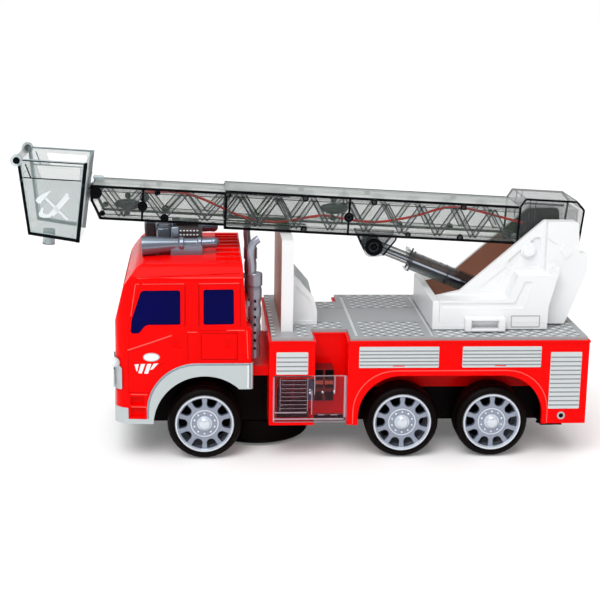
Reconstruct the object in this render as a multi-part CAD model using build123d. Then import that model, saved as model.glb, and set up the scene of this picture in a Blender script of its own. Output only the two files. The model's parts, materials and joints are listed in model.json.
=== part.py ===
from build123d import *
import math
import os

# Toy ladder fire engine with three axles, in millimetres. +X is forward, +Y the vehicle's left, +Z up.
# Lengths along X are measured from the front axle while the parts are made, and the floor is Z = 0.
# Every part is moved by the same amount at the end, so that the origin lies on the floor, under the
# middle of the whole toy.

os.makedirs("parts", exist_ok=True)

# ---------------------------------------------------------------- overall widths
BODY_HALF_W = 52.5
CAB_HALF_W = BODY_HALF_W - 0.5
ROOF_HALF_W = CAB_HALF_W - 6
WHEEL_FACE_Y = BODY_HALF_W - 1.5    # outer face of the tyres
MODULE_FACE_Y = BODY_HALF_W - 4.5   # ribs of the modules behind the clear covers
TURRET_HALF_W = BODY_HALF_W - 15.5
REST_HALF_W = BODY_HALF_W - 13.8

# ---------------------------------------------------------------- wheels and axles
TYRE_R = 21.0
TYRE_W = 18.0
TYRE_EDGE = 2.4             # rounding of the tread's shoulders
RIM_R = 16.8
RIM_RING = 1.7              # width of the rim's outer ring
RIM_DISH = 1.2              # how far the spokes lie inside the tyre's face
SPOKE_PLATE = 2.6
SPOKES = 10
SPOKE_W = 2.5
HUB_R = 7.2
HUB_CAP_R = 3.5
HUB_CAP_H = 1.6
AXLE_R = 2.0
AXLE_PLAY = 0.06            # running clearance of an axle in the chassis
SEAT_PLAY = 0.02            # clearance of a pressed seat
MIDDLE_AXLE_X = -112.4
REAR_AXLE_X = -164.1
AXLES = (("front", 0.0), ("middle", MIDDLE_AXLE_X), ("rear", REAR_AXLE_X))

# ---------------------------------------------------------------- rear body
BODY_FRONT_X = -36.2
BODY_REAR_X = -217.8
BODY_WALL = 2.4
BODY_BOTTOM_Z = 20.5
BODY_TOP_Z = 69.0           # top of the red moulding, under the deck
DECK_T = 2.6
DECK_TOP_Z = BODY_TOP_Z + DECK_T
DECK_INSET = 1.1            # the deck's edge stands back from the body's side
DECK_GROOVE = 0.6           # depth of the grooves in the deck
DECK_LINE_Y = 16.0          # inner edge of the grooves along the deck
DECK_LINE_W = 1.5
DECK_LINE_FRONT_X = -52.0
DECK_LINE_REAR_X = -214.0
DECK_SEAMS = ((-84.5, -86.5), (-127.8, -129.4))     # grooves across the deck: front x, rear x
DECK_SEAM_HALF_W = BODY_HALF_W - 4.0
DECK_SLOTS = ((-90.3, 34.7), (-116.3, 39.0))        # middle of each slot through the deck: x, y
DECK_SLOT_L = 4.0
DECK_SLOT_W = 1.1
DECK_RIM = 0.6              # lip of the body around the deck
LIP_LOW_Z = 68.4            # raised band along the body's upper edge
REAR_SHUTTER = (-25.0, 25.0, 31.0, 63.0, 13)    # low y, high y, low z, high z, slats
TAIL_LAMP_Y = BODY_HALF_W - 10.5
TAIL_LAMPS = ((TAIL_LAMP_Y, 36.0), (TAIL_LAMP_Y, 46.0))       # y, z
TAIL_LAMP_R = 3.6
TAIL_LAMP_OUT = 0.8
TAIL_LAMP_SEAT = 1.0
NOTCH_FRONT_X = -61.8
NOTCH_REAR_X = -80.4
NOTCH_HALF_W = BODY_HALF_W - 18.5
ARCH_FRONT_X = -86.6
ARCH_REAR_X = -192.4
ARCH_TOP_Z = 49.4
ARCH_ROUND = 24.0
ARCH_LIP = 2.6
ARCH_LIP_OUT = 0.7

# Roller shutters on each side: front end x, rear end x, bottom z, top z, number of slats
SHUTTERS = (
    (-40.1, -57.9, 50.4, 63.3, 5),
    (-86.6, -131.8, 54.1, 66.3, 6),
    (-145.2, -190.3, 54.1, 66.3, 6),
    (-195.8, -213.7, 29.4, 62.9, 13),
)
SHUTTER_T = 1.4
SHUTTER_SEAT = 1.0          # depth of the pocket that a shutter sits in
SLAT_STEP = 0.4             # how far a slat's lower edge stands out

WINDOW_FRONT_X = -38.3      # clear cover low on each side
WINDOW_REAR_X = -80.2
WINDOW_TOP_Z = 49.6
WINDOW_BOTTOM_Z = 22.0
WINDOW_T = 1.2
WINDOW_FRAME = 2.2
TONGUE_OUT = 9.0            # tongue of the body under the back of the cab
TONGUE_T = 5.5
CAB_GAP = 0.4               # between the tongue and the cab
# Modules behind each clear cover: front end x, rear end x, bottom z, top z, ribs
MODULES = (
    (-43.5, -58.5, 27.0, 47.0, 7),
    (-62.5, -75.0, 32.0, 49.0, 2),
)

# ---------------------------------------------------------------- chassis and drive unit
CHASSIS_HALF_W = WHEEL_FACE_Y - TYRE_W - 3.0     # clear of the tyres
CHASSIS_BOTTOM_Z = 16.2
CHASSIS_TOP_Z = 36.0
TOWER_TOP_Z = 46.0          # raised front of the chassis, between the front wheels
TOWER_FRONT_X = 26.6
CHASSIS_FRONT_X = 41.0
CHASSIS_REAR_X = -206.0
FOOT_FRONT_X = -193.5
FOOT_BOTTOM_Z = 17.5
DRIVE_X = -31.0             # centre of the turning drive unit under the chassis
DRIVE_R = 31.0
DRIVE_BOTTOM_Z = 1.2
DRIVE_TOP_Z = 15.8
DRIVE_ROUND = 4.0
DRIVE_PIN_R = 5.0
DRIVE_PIN_H = 9.0
DRIVE_PLAY = 0.08
DRIVE_WHEEL_R = 6.5
DRIVE_WHEEL_W = 5.0
DRIVE_WHEEL_Y = 13.0
DRIVE_AXLE_R = 1.2
DRIVE_GAP = 1.0             # room around the drive wheels

# ---------------------------------------------------------------- cab
CAB_WALL = 2.0
CAB_NOSE_X = 52.4
CAB_REAR_X = -26.6
CAB_BACK_X = -22.4          # back wall above the waist
CAB_SILL_Z = 42.0           # lower edge behind the front wheel
CAB_BOTTOM_Z = 21.8
CAB_WAIST_Z = 76.0
ROOF_EDGE_Z = 112.0
ROOF_REAR_Z = 114.6
ROOF_FRONT_Z = 112.6
GUTTER_Z = 105.5
WHEEL_ARCH_R = 28.6
GLASS_DEPTH = 0.8           # how far the panes stand back from the cab's skin
GLASS_T = 1.0
FLOOR_Z = 50.6              # floor inside the cab, above the front wheels
FLOOR_T = 1.6
FLOOR_FRONT_X = 40.0

LINE_W = 0.7                # width of the grooves in the cab's skin
LINE_DEPTH = 0.5
RIDGE_H = 0.4               # height of the crease and of the body's lip
ROOF_RIB_H = 0.8
ROOF_RIB_W = 1.2
ROOF_RIB_PITCH = 9.9
ROOF_RIB_ROWS = 4           # on each side of the middle
ROOF_RIB_FRONT_X = -6.5
ROOF_RIB_REAR_X = -20.0
HANDLE_DEPTH = 1.0
STEP_DEPTH = 3.2            # footholds behind the front bumper
STEP_BACK = 2.0
STEP_RIM = 1.3
STEP_TOP_Z = 38.9
STEP_MIDDLE_Z = 31.4
FOG_Y = CAB_HALF_W - 19.0   # round lamps in the bumper
FOG_Z = 26.6
FOG_R = 3.2
FOG_DEPTH = 0.9

TRIM_PROUD = 0.6            # the silver trim stands out from the red skin
TRIM_SILL_Z = 24.5
TRIM_ROUND = 28.0
TRIM_OUTER_X = 32.3
TRIM_TOP_Z = 57.0
BUMPER_BACK_X = 42.6
BUMPER_TOP_Z = 31.0

LAMP_PROUD = 0.9
SCREEN_HALF_W = CAB_HALF_W - 8.0
SCREEN_CUT_X = CAB_NOSE_X - 18.4     # how far back the windscreen's opening is cut
LAMP_INNER_Y = CAB_HALF_W - 17.0
GRILLE_HALF_W = LAMP_INNER_Y - 6.0
GRILLE_BOTTOM_Z = 36.0
GRILLE_TOP_Z = 62.0
GRILLE_BARS = 5
GRILLE_BAR_T = 2.4

# ---------------------------------------------------------------- roof horns and beacon bar
HORN_Y = 24.0
HORN_MOUTH_X = 35.2
HORN_BALL_X = -5.5
HORN_MOUTH_R = 5.8
HORN_THROAT_R = 2.7
HORN_AXIS_Z = 117.9
HORN_BALL_R = 3.0
HORN_BORE = 4.6
PLATE_FRONT_X = 18.9
PLATE_REAR_X = 1.1
BEACON_HALF_Y = 15.0
BEACON_TOP_Z = 126.4
FRONT_POD = (33.6, 28.4, 5.0, 127.0)     # lamp ahead of the bar: front x, rear x, half width, top z

# ---------------------------------------------------------------- exhaust stacks
STACK_X = -28.4
STACK_Y = CAB_HALF_W - 16.2
STACK_R = 4.2
STACK_FOOT_R = 3.2
STACK_BOTTOM_Z = 55.8
STACK_TOP_Z = 105.5
STACK_RING_Z = 98.0
STACK_WAVES = 4
STACK_WAIST = 0.5           # depth of the waist between two waves
PIPE_R = 2.3
PIPE_X = -26.6
PIPE_BEND_Z = 114.0
PIPE_TIP_Z = 124.6
PIPE_BEND_R = 9.0
STACK_GROOVE = 0.4
STACK_CLIPS = (64.0, 86.0)  # heights of the clips that hold a stack in its groove
STACK_CLIP_W = 3.0

# ---------------------------------------------------------------- ladder rest on the deck
REST_FRONT_X = -43.2
REST_REAR_X = -50.0
REST_GUSSET_Y = 23.0
REST_GUSSET_T = 3.0
REST_GUSSET_REACH = 14.9
REST_GUSSET_H = 30.0
REST_BORDER = 2.2           # raised border around the gusset's panel
REST_PANEL_DEPTH = 0.8
REST_GAP = 0.4              # between the rest and the lowered ladder

# ---------------------------------------------------------------- turret
SLEW_X = -168.0
TURRET_FRONT_X = -129.8
TURRET_GAP = 0.3            # the turret turns just clear of the deck
TURRET_PIN_R = 14.0
TURRET_FLOOR_T = 4.0
CONSOLE_REAR_X = -196.7
CONSOLE_TOP_Z = 88.8
CONSOLE_RISER_X = -173.2
CONSOLE_SHELF_X = -178.6
CONSOLE_SHELF_Z = 103.8
CONSOLE_HOOK_Z = 109.0
CONSOLE_HOOK_X = -202.5
CHEEK_INNER_Y = 19.2
CHEEK_T = 3.2
CHEEK_COVER_Y = 27.0        # outer face of the cheek's rear cover
CHEEK_FOOT_X = -148.0
CHEEK_FOOT_Z = 91.5
CHEEK_RIDGE_X = -195.3
CHEEK_RIDGE_Z = 133.0
CHEEK_REAR_X = -214.0
CHEEK_BACK_X = -220.6
CHEEK_BACK_Z = 114.5
CHEEK_HEEL_X = -209.0
TURRET_FRONT_T = 4.0
BAND_DEPTH = 0.6            # recessed band along the console's upper edge
KNOB_PLATE_OUT = 1.5        # housing low on the console's side
KNOB_PLATE = (-149.0, -171.8, 77.1)         # front x, rear x, top z
KNOB_POCKET = (-152.8, -167.9, 75.4)        # its recess: front x, rear x, top z
KNOB_POCKET_DEPTH = 1.2
POCKET_DEPTH = 1.2          # pocket in the cheek around the elevation pin
POCKET_BOSS_R = 4.6
PANEL_DEPTH = 0.4           # three-cornered panel ahead of it
TAB_OUT = 0.5               # tabs on the cheek's rear cover

# ---------------------------------------------------------------- ladder
PIVOT_X = -187.0            # elevation hinge
PIVOT_Z = 115.5
LADDER_TILT = 2.9           # degrees, nose up, as it lies on its rest
PIVOT_PIN_R = 2.5
PIN_HEAD = 1.0
BOOM_HALF_W = 17.0
BOOM_BOTTOM = 2.2           # above the hinge, along the ladder's own frame
BOOM_TOP = 24.2
BOOM_FRONT = 176.4
BOOM_REAR = -28.0
BOOM_WALL = 1.1
RIB_OUT = 0.8               # how far the lattice ribs stand out of the side walls
RIB_W = 2.4
RAIL_H = 2.6
BAY_L = 10.38               # length of one bay of the boom's lattice
BOOM_BAYS = 16
BOOM_LATTICE_REAR = 11.7
BOSS_R = 1.8                # small round bosses at the rails
BOSS_OUT = 0.4
RING_R = 2.9                # ring boss at a divider
RING_HOLE_R = 1.2
DIVIDER_W = 1.3
# Bosses on the sides of the boom and the fly: along, up
BOOM_BOSSES = (
    (175.0, 22.4), (130.6, 22.4), (91.2, 22.4), (39.3, 22.4),
    (130.6, 4.2), (70.2, 4.2), (39.8, 4.2),
)
BOOM_RING = (105.1, 12.8)
FLY_BOSSES = ((210.2, 6.2), (245.8, 6.9), (214.7, 20.6))
FLY_RING = (222.9, 12.4)
FLY_SIDE_GAP = 0.4
FLY_FIT = 0.3
FLY_REAR = 128.0
FLY_FRONT = 252.4
FLY_BAY_L = 11.8
FLY_BAYS = 11
FLY_LATTICE_REAR = 116.6
NOSE_CHAMFER = 5.0
NOSE_EAR_R = 3.8
HOOD_FRONT = 7.0
HOOD_REAR = -31.6
HOOD_TOP = 29.4
HOOD_HALF_W = 18.2
HOOD_CHAMFER = 5.0
HOOD_BOTTOM = 0.0
HOOD_BOSSES = ((3.2, 25.8), (-26.4, 25.6))      # along, up
HOOD_RIBS = (-2.4, 0.9)     # two upright ribs near the hood's front: along
HOOD_RIB_H = 0.4
EAR_T = 3.0
LUG_X = 88.3                # rod lug under the boom, along the ladder
LUG_DROP = -5.5
LUG_EAR_Y = 4.6
LUG_EAR_T = 3.4
LUG_R = 5.2
LUG_BOSS_OUT = 1.2

# ---------------------------------------------------------------- lift cylinder
BARREL_X = -168.0
BARREL_Z = 86.6
BARREL_LENGTH = 52.0
BARREL_R = 4.6
BARREL_EYE_R = 5.0
COLLAR_L = 4.0              # thicker ring at the barrel's mouth
COLLAR_OUT = 0.5
BARREL_PIN_R = 2.0
ROD_R = 2.4
ROD_PLAY = 0.08
ROD_INSIDE = 40.0
ROD_EYE_R = 4.2
ROD_EYE_HALF_W = 4.2

# ---------------------------------------------------------------- basket
BASKET_HINGE = (251.0, 17.5)     # along and above the ladder's own frame
BASKET_TOP_Z = 165.2
BASKET_FRONT_X = 104.6
BASKET_REAR_X = 65.6
BASKET_HALF_W = 26.5
BASKET_DEPTH = 43.0
BASKET_FLOOR_FRONT = 97.4
BASKET_FLOOR_REAR = 70.0
BASKET_FLOOR_HALF_W = 23.0
BASKET_LEAN = 3.3           # degrees, nose up
BASKET_WALL = 1.4
BASKET_WINDOW_H = 7.5
BASKET_LINE_H = 1.0         # raised line around the tub under its windows
BASKET_LINE_OUT = 0.5
BASKET_BOSS_R = 3.4
BASKET_ROD_R = 1.9
NOZZLE_R = 3.6
NOZZLE_H = 4.6
HINGE_BOSS_R = 4.0
HINGE_BOSS_HALF_W = 6.0
HINGE_EAR_T = 2.4
HINGE_PIN_R = 1.6

# ---------------------------------------------------------------- small modules and wire in the ladder
PLUG_L = 12.0
PLUG_R = 2.6
PLUG_PEG_R = 1.0
FLY_PLUG_X = 232.0
FLY_PLUG_UP = 10.0
BOOM_PLUG_X = 112.0
BOOM_PLUG_UP = 14.8
WIRE_R = 0.7


# ================================================================ helpers
def outline(rows):
    """Closed outline. Each row is one corner: along, up, corner radius."""
    points = [(along, up) for along, up, _ in rows]
    return make_face(FilletPolyline(*points, radius=[r for _, _, r in rows], close=True))


def drawn_in(rows, inset):
    """The rows of an outline with each side moved inwards by an inset, or outwards if it is negative."""
    before = rows[-1:] + rows[:-1]
    after = rows[1:] + rows[:1]
    sweep_sum = sum(one[0] * two[1] - two[0] * one[1] for one, two in zip(rows, after))
    turn = math.copysign(1, sweep_sum)
    moved = []
    for back, here, ahead in zip(before, rows, after):
        run_in = math.atan2(here[1] - back[1], here[0] - back[0])
        run_out = math.atan2(ahead[1] - here[1], ahead[0] - here[0])
        bend = math.remainder(run_out - run_in, 2 * math.pi)
        inwards = run_in + bend / 2 + turn * math.pi / 2
        far = inset / math.cos(bend / 2)
        radius = max(here[2] - inset * math.copysign(1, bend * turn), 0) if here[2] else 0
        moved.append((here[0] + far * math.cos(inwards), here[1] + far * math.sin(inwards), radius))
    return tuple(moved)


def ring_outline(rows, width):
    """Line of one width just inside an outline."""
    return outline(rows) - outline(drawn_in(rows, width))


def strip(one, two, width):
    """Straight line of one width between two points."""
    length = math.hypot(two[0] - one[0], two[1] - one[1])
    across = width / 2 / length
    step_x = (two[1] - one[1]) * across
    step_z = (two[0] - one[0]) * across
    return Polygon(
        (one[0] + step_x, one[1] - step_z),
        (two[0] + step_x, two[1] - step_z),
        (two[0] - step_x, two[1] + step_z),
        (one[0] - step_x, one[1] + step_z),
    )


def side_prism(face, y_low, y_high):
    """Prism of a side view (x, z) between two widths."""
    return extrude(Pos(0, y_low, 0) * (Plane.XZ * face), y_high - y_low, dir=(0, 1, 0))


def plan_prism(face, z_low, z_high):
    """Prism of a plan view (x, y) between two heights."""
    return extrude(Pos(0, 0, z_low) * face, z_high - z_low, dir=(0, 0, 1))


def front_prism(face, x_low, x_high):
    """Prism of a front view (y, z) between two lengths."""
    return extrude(Pos(x_low, 0, 0) * (Plane.YZ * face), x_high - x_low, dir=(1, 0, 0))


def box(x_low, x_high, y_low, y_high, z_low, z_high):
    size = (abs(x_high - x_low), abs(y_high - y_low), abs(z_high - z_low))
    middle = ((x_low + x_high) / 2, (y_low + y_high) / 2, (z_low + z_high) / 2)
    return Pos(*middle) * Box(*size)


def cylinder_y(x, z, radius, y_low, y_high):
    """Cylinder across the vehicle."""
    face = Pos(x, z) * Circle(radius)
    return side_prism(face, y_low, y_high)


def turned(profile, axis=Axis.Z):
    """Solid of revolution of a profile in the XZ plane."""
    return revolve(Plane.XZ * profile, axis)


def both_sides(shape):
    """A piece and its mirror image on the other side of the vehicle."""
    return shape + mirror(shape, about=Plane.XZ)


def in_ladder(shape):
    """From the ladder's own frame, with its origin in the elevation hinge, to the vehicle's."""
    return Pos(PIVOT_X, 0, PIVOT_Z) * Rot(0, -LADDER_TILT, 0) * shape


def ladder_point(along, up):
    """Place in the vehicle's frame of a point in the ladder's own frame."""
    tilt = math.radians(LADDER_TILT)
    x = PIVOT_X + along * math.cos(tilt) - up * math.sin(tilt)
    z = PIVOT_Z + along * math.sin(tilt) + up * math.cos(tilt)
    return x, z


def ladder_underside(x):
    """Height of the lowered ladder's underside at x."""
    tilt = math.radians(LADDER_TILT)
    return PIVOT_Z + (x - PIVOT_X) * math.tan(tilt) + BOOM_BOTTOM / math.cos(tilt)


# ================================================================ wheels
def tyre():
    """Tyre about Z with its outer face at Z = 0, towards -Z inside."""
    section = outline((
        (RIM_R, 0, 0.5),
        (TYRE_R, 0, TYRE_EDGE),
        (TYRE_R, -TYRE_W, TYRE_EDGE),
        (RIM_R, -TYRE_W, 0),
    ))
    return turned(section)


def spoke_window():
    """One opening between two spokes, wide outside and rounded inside."""
    step = math.radians(180 / SPOKES)
    outer = RIM_R - RIM_RING
    half_out = outer * math.sin(step) - SPOKE_W / 2
    half_in = 1.3
    inner = HUB_R + 1.2
    return outline((
        (inner, -half_in, 0.9),
        (outer * math.cos(step), -half_out, 0.9),
        (outer * math.cos(step), half_out, 0.9),
        (inner, half_in, 0.9),
    ))


def rim():
    """Rim about Z with its outer face at Z = 0."""
    inner = RIM_R - RIM_RING
    section = Polygon(
        (AXLE_R + SEAT_PLAY, -TYRE_W + 2),
        (HUB_R, -TYRE_W + 2),
        (HUB_R, -RIM_DISH - SPOKE_PLATE),
        (inner, -RIM_DISH - SPOKE_PLATE),
        (inner, -TYRE_W),
        (RIM_R - SEAT_PLAY, -TYRE_W),
        (RIM_R - SEAT_PLAY, -0.2),
        (inner + 0.5, 0),
        (inner, -RIM_DISH),
        (HUB_R, -RIM_DISH),
        (HUB_R - 1, 0),
        (HUB_CAP_R, 0),
        (HUB_CAP_R, HUB_CAP_H - 1),
        (HUB_CAP_R - 1, HUB_CAP_H),
        (0, HUB_CAP_H),
        (0, -RIM_DISH - SPOKE_PLATE),
        (AXLE_R + SEAT_PLAY, -RIM_DISH - SPOKE_PLATE),
    )
    body = turned(section)
    window = plan_prism(spoke_window(), -TYRE_W + 0.5, 1)
    for turn in range(SPOKES):
        body -= Rot(0, 0, (turn + 0.5) * 360 / SPOKES) * window
    return body


def on_left(shape, x):
    """A wheel part made about Z, set on the left end of an axle."""
    return Pos(x, WHEEL_FACE_Y, TYRE_R) * Rot(-90, 0, 0) * shape


def axle(x):
    reach = WHEEL_FACE_Y - RIM_DISH - SPOKE_PLATE - SEAT_PLAY
    return cylinder_y(x, TYRE_R, AXLE_R, -reach, reach)


# ================================================================ rear body
def body_plan(inset):
    """Plan of the rear body, with the step-in notch on each side."""
    length = BODY_FRONT_X - BODY_REAR_X - 2 * inset
    face = Pos((BODY_FRONT_X + BODY_REAR_X) / 2, 0) * Rectangle(length, 2 * (BODY_HALF_W - inset))
    notch_length = NOTCH_FRONT_X - NOTCH_REAR_X + 2 * inset
    depth = 2 * BODY_HALF_W
    for side in (-1, 1):
        centre_y = side * (NOTCH_HALF_W - inset + depth / 2)
        face -= Pos((NOTCH_FRONT_X + NOTCH_REAR_X) / 2, centre_y) * Rectangle(notch_length, depth)
    return face


def rear_arch(grow):
    """Outline of the opening over the two rear wheels."""
    return outline((
        (ARCH_FRONT_X + grow, 0, 0),
        (ARCH_FRONT_X + grow, ARCH_TOP_Z + grow, ARCH_ROUND),
        (ARCH_REAR_X - grow, ARCH_TOP_Z + grow, ARCH_ROUND),
        (ARCH_REAR_X - grow, 0, 0),
    ))


def shutter_face(row, grow):
    front, rear, low, high, _ = row
    return outline((
        (front + grow, low - grow, 0.6 + grow),
        (front + grow, high + grow, 0.6 + grow),
        (rear - grow, high + grow, 0.6 + grow),
        (rear - grow, low - grow, 0.6 + grow),
    ))


def rear_prism(face, inside, outside):
    """Prism of a rear view (y, z) through the body's rear wall."""
    return front_prism(face, BODY_REAR_X - outside, BODY_REAR_X + inside)


def rear_shutter_face(grow):
    left, right, low, high, _ = REAR_SHUTTER
    return Pos((left + right) / 2, (low + high) / 2) * RectangleRounded(
        right - left + 2 * grow, high - low + 2 * grow, 0.8)


def tail_lamp_face(grow):
    return Sketch() + [Pos(y, z) * Circle(TAIL_LAMP_R + grow) for y, z in TAIL_LAMPS]


def rear_shutter():
    """Slatted shutter in the rear wall."""
    left, right, low, high, slats = REAR_SHUTTER
    back = BODY_REAR_X + SHUTTER_SEAT
    face = back - SHUTTER_T + SLAT_STEP
    pitch = (high - low) / slats
    section = [(back, low)]
    for slat in range(slats):
        section += [(face - SLAT_STEP, low + slat * pitch), (face, low + (slat + 0.9) * pitch)]
    section += [(face, high), (back, high)]
    slab = side_prism(Polygon(*section), left, right)
    return slab & rear_prism(rear_shutter_face(0), SHUTTER_SEAT, SHUTTER_T)


def tail_lamps():
    return both_sides(rear_prism(tail_lamp_face(0), TAIL_LAMP_SEAT, TAIL_LAMP_OUT))


def body_shell():
    shell = plan_prism(body_plan(0), BODY_BOTTOM_Z, BODY_TOP_Z)
    shell -= plan_prism(body_plan(BODY_WALL), 0, BODY_TOP_Z - BODY_WALL)
    rim_plan = body_plan(0) - body_plan(DECK_INSET)
    shell += plan_prism(rim_plan, BODY_TOP_Z, BODY_TOP_Z + DECK_RIM)
    lip_plan = body_plan(-RIDGE_H) - body_plan(BODY_WALL / 2)
    shell += plan_prism(lip_plan, LIP_LOW_Z, BODY_TOP_Z) + plan_prism(
        body_plan(-RIDGE_H) - body_plan(DECK_INSET), BODY_TOP_Z, BODY_TOP_Z + DECK_RIM)
    wide = BODY_HALF_W + ARCH_LIP_OUT
    lip = side_prism(rear_arch(ARCH_LIP) - rear_arch(0), BODY_HALF_W - BODY_WALL, wide)
    lip -= box(BODY_REAR_X, BODY_FRONT_X, 0, wide + 1, -1, BODY_BOTTOM_Z)
    shell += both_sides(lip)
    shell -= side_prism(rear_arch(0), -wide - 1, wide + 1)
    for row in SHUTTERS:
        pocket = side_prism(shutter_face(row, SEAT_PLAY), BODY_HALF_W - SHUTTER_SEAT, wide + 1)
        shell -= both_sides(pocket)
    shell -= rear_prism(rear_shutter_face(SEAT_PLAY), SHUTTER_SEAT, 1)
    shell -= both_sides(rear_prism(tail_lamp_face(SEAT_PLAY), TAIL_LAMP_SEAT, 1))
    window = side_prism(cover_outline(-WINDOW_FRAME), NOTCH_HALF_W + BODY_WALL, wide + 1)
    seat = side_prism(cover_outline(SEAT_PLAY), BODY_HALF_W - WINDOW_T, wide + 1)
    shell -= both_sides(window) + both_sides(seat)
    well = box(BODY_REAR_X + BODY_WALL, BODY_FRONT_X - BODY_WALL, CHASSIS_HALF_W - BODY_WALL, CHASSIS_HALF_W,
               CHASSIS_TOP_Z, BODY_TOP_Z - BODY_WALL)
    shell += both_sides(well)
    tongue_y = CHASSIS_HALF_W + TONGUE_OUT
    shell += box(BODY_FRONT_X - 1, CAB_REAR_X - CAB_GAP, -tongue_y, tongue_y, TOWER_TOP_Z,
                 TOWER_TOP_Z + TONGUE_T)
    slot_y = CHASSIS_HALF_W + SEAT_PLAY
    shell -= box(BODY_FRONT_X - BODY_WALL - 1, BODY_FRONT_X + 1, -slot_y, slot_y, 0, CHASSIS_TOP_Z)
    shell -= Pos(SLEW_X, 0, BODY_TOP_Z) * Cylinder(TURRET_PIN_R + AXLE_PLAY, 4 * BODY_WALL)
    return shell


def cover_outline(grow):
    """Outline of the clear cover, low on the side behind the cab."""
    return outline((
        (WINDOW_FRONT_X + grow, WINDOW_BOTTOM_Z - grow, 1.2),
        (WINDOW_FRONT_X + grow, WINDOW_TOP_Z + grow, 1.2),
        (WINDOW_REAR_X - grow, WINDOW_TOP_Z + grow, 1.2),
        (WINDOW_REAR_X - grow, WINDOW_BOTTOM_Z - grow, 1.2),
    ))


def deck_plate():
    plate = plan_prism(body_plan(DECK_INSET + SEAT_PLAY), BODY_TOP_Z, DECK_TOP_Z)
    plate -= Pos(SLEW_X, 0, BODY_TOP_Z) * Cylinder(TURRET_PIN_R + AXLE_PLAY, 4 * DECK_T)
    groove_z = DECK_TOP_Z - DECK_GROOVE
    line = box(DECK_LINE_REAR_X, DECK_LINE_FRONT_X, DECK_LINE_Y, DECK_LINE_Y + DECK_LINE_W,
               groove_z, DECK_TOP_Z + 1)
    plate -= both_sides(line)
    for front, rear in DECK_SEAMS:
        plate -= box(rear, front, -DECK_SEAM_HALF_W, DECK_SEAM_HALF_W, groove_z, DECK_TOP_Z + 1)
    for x, y in DECK_SLOTS:
        slot = box(x - DECK_SLOT_L / 2, x + DECK_SLOT_L / 2, y - DECK_SLOT_W / 2, y + DECK_SLOT_W / 2,
                   BODY_TOP_Z - 1, DECK_TOP_Z + 1)
        plate -= both_sides(slot)
    return plate


def shutter(row):
    """Slatted shutter, each slat a shallow step."""
    front, rear, low, high, slats = row
    back = BODY_HALF_W - SHUTTER_SEAT
    face = back + SHUTTER_T - SLAT_STEP
    pitch = (high - low) / slats
    section = [(back, low)]
    for slat in range(slats):
        section += [(face + SLAT_STEP, low + slat * pitch), (face, low + (slat + 0.9) * pitch)]
    section += [(face, high), (back, high)]
    slab = front_prism(Polygon(*section), rear, front)
    return slab & side_prism(shutter_face(row, 0), back - 1, face + 1)


def module(row):
    """Dark ribbed unit behind the clear cover."""
    front, rear, low, high, ribs = row
    back = NOTCH_HALF_W + BODY_WALL
    if front > NOTCH_FRONT_X:
        back = BODY_HALF_W - 9
    core = box(rear, front, NOTCH_HALF_W, MODULE_FACE_Y - 1, low, high)
    pitch = (high - low) / ribs
    for rib in range(ribs):
        z = low + (rib + 0.15) * pitch
        core += box(rear, front, MODULE_FACE_Y - 1, MODULE_FACE_Y, z, z + 0.7 * pitch)
    return core


def clear_cover():
    return side_prism(cover_outline(0), BODY_HALF_W - WINDOW_T, BODY_HALF_W)


# ================================================================ chassis
def chassis():
    frame = box(CHASSIS_REAR_X, CHASSIS_FRONT_X, -CHASSIS_HALF_W, CHASSIS_HALF_W,
                CHASSIS_BOTTOM_Z, CHASSIS_TOP_Z)
    frame += box(CHASSIS_REAR_X, FOOT_FRONT_X, -BODY_HALF_W + 6, BODY_HALF_W - 6,
                 FOOT_BOTTOM_Z, BODY_BOTTOM_Z)
    frame += box(BODY_FRONT_X + CAB_GAP, TOWER_FRONT_X, -CHASSIS_HALF_W, CHASSIS_HALF_W,
                 CHASSIS_TOP_Z, TOWER_TOP_Z)
    for _, x in AXLES:
        frame -= cylinder_y(x, TYRE_R, AXLE_R + AXLE_PLAY, -CHASSIS_HALF_W - 1, CHASSIS_HALF_W + 1)
    socket_top = CHASSIS_BOTTOM_Z + DRIVE_PIN_H
    frame -= Pos(DRIVE_X, 0, socket_top / 2) * Cylinder(DRIVE_PIN_R + DRIVE_PLAY, socket_top)
    return frame


def drive_turntable():
    section = outline((
        (0, DRIVE_BOTTOM_Z, 0),
        (DRIVE_R, DRIVE_BOTTOM_Z, DRIVE_ROUND),
        (DRIVE_R, DRIVE_TOP_Z, 1),
        (DRIVE_PIN_R, DRIVE_TOP_Z, 0),
        (DRIVE_PIN_R, DRIVE_TOP_Z + DRIVE_PIN_H, 0),
        (0, DRIVE_TOP_Z + DRIVE_PIN_H, 0),
    ))
    table = Pos(DRIVE_X, 0, 0) * turned(section)
    reach = DRIVE_WHEEL_R + DRIVE_GAP
    half = DRIVE_WHEEL_W / 2 + DRIVE_GAP
    for side in (-1, 1):
        y = side * DRIVE_WHEEL_Y
        table -= box(DRIVE_X - reach, DRIVE_X + reach, y - half, y + half,
                     0, DRIVE_TOP_Z - 0.8)
    end = DRIVE_WHEEL_Y + half + 4
    table -= cylinder_y(DRIVE_X, DRIVE_WHEEL_R, DRIVE_AXLE_R + AXLE_PLAY, -end, end)
    return table


def drive_wheels():
    half = DRIVE_WHEEL_W / 2
    end = DRIVE_WHEEL_Y + half + DRIVE_GAP + 3
    pair = cylinder_y(DRIVE_X, DRIVE_WHEEL_R, DRIVE_AXLE_R, -end, end)
    for side in (-1, 1):
        y = side * DRIVE_WHEEL_Y
        pair += cylinder_y(DRIVE_X, DRIVE_WHEEL_R, DRIVE_WHEEL_R, y - half, y + half)
    return pair


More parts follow.
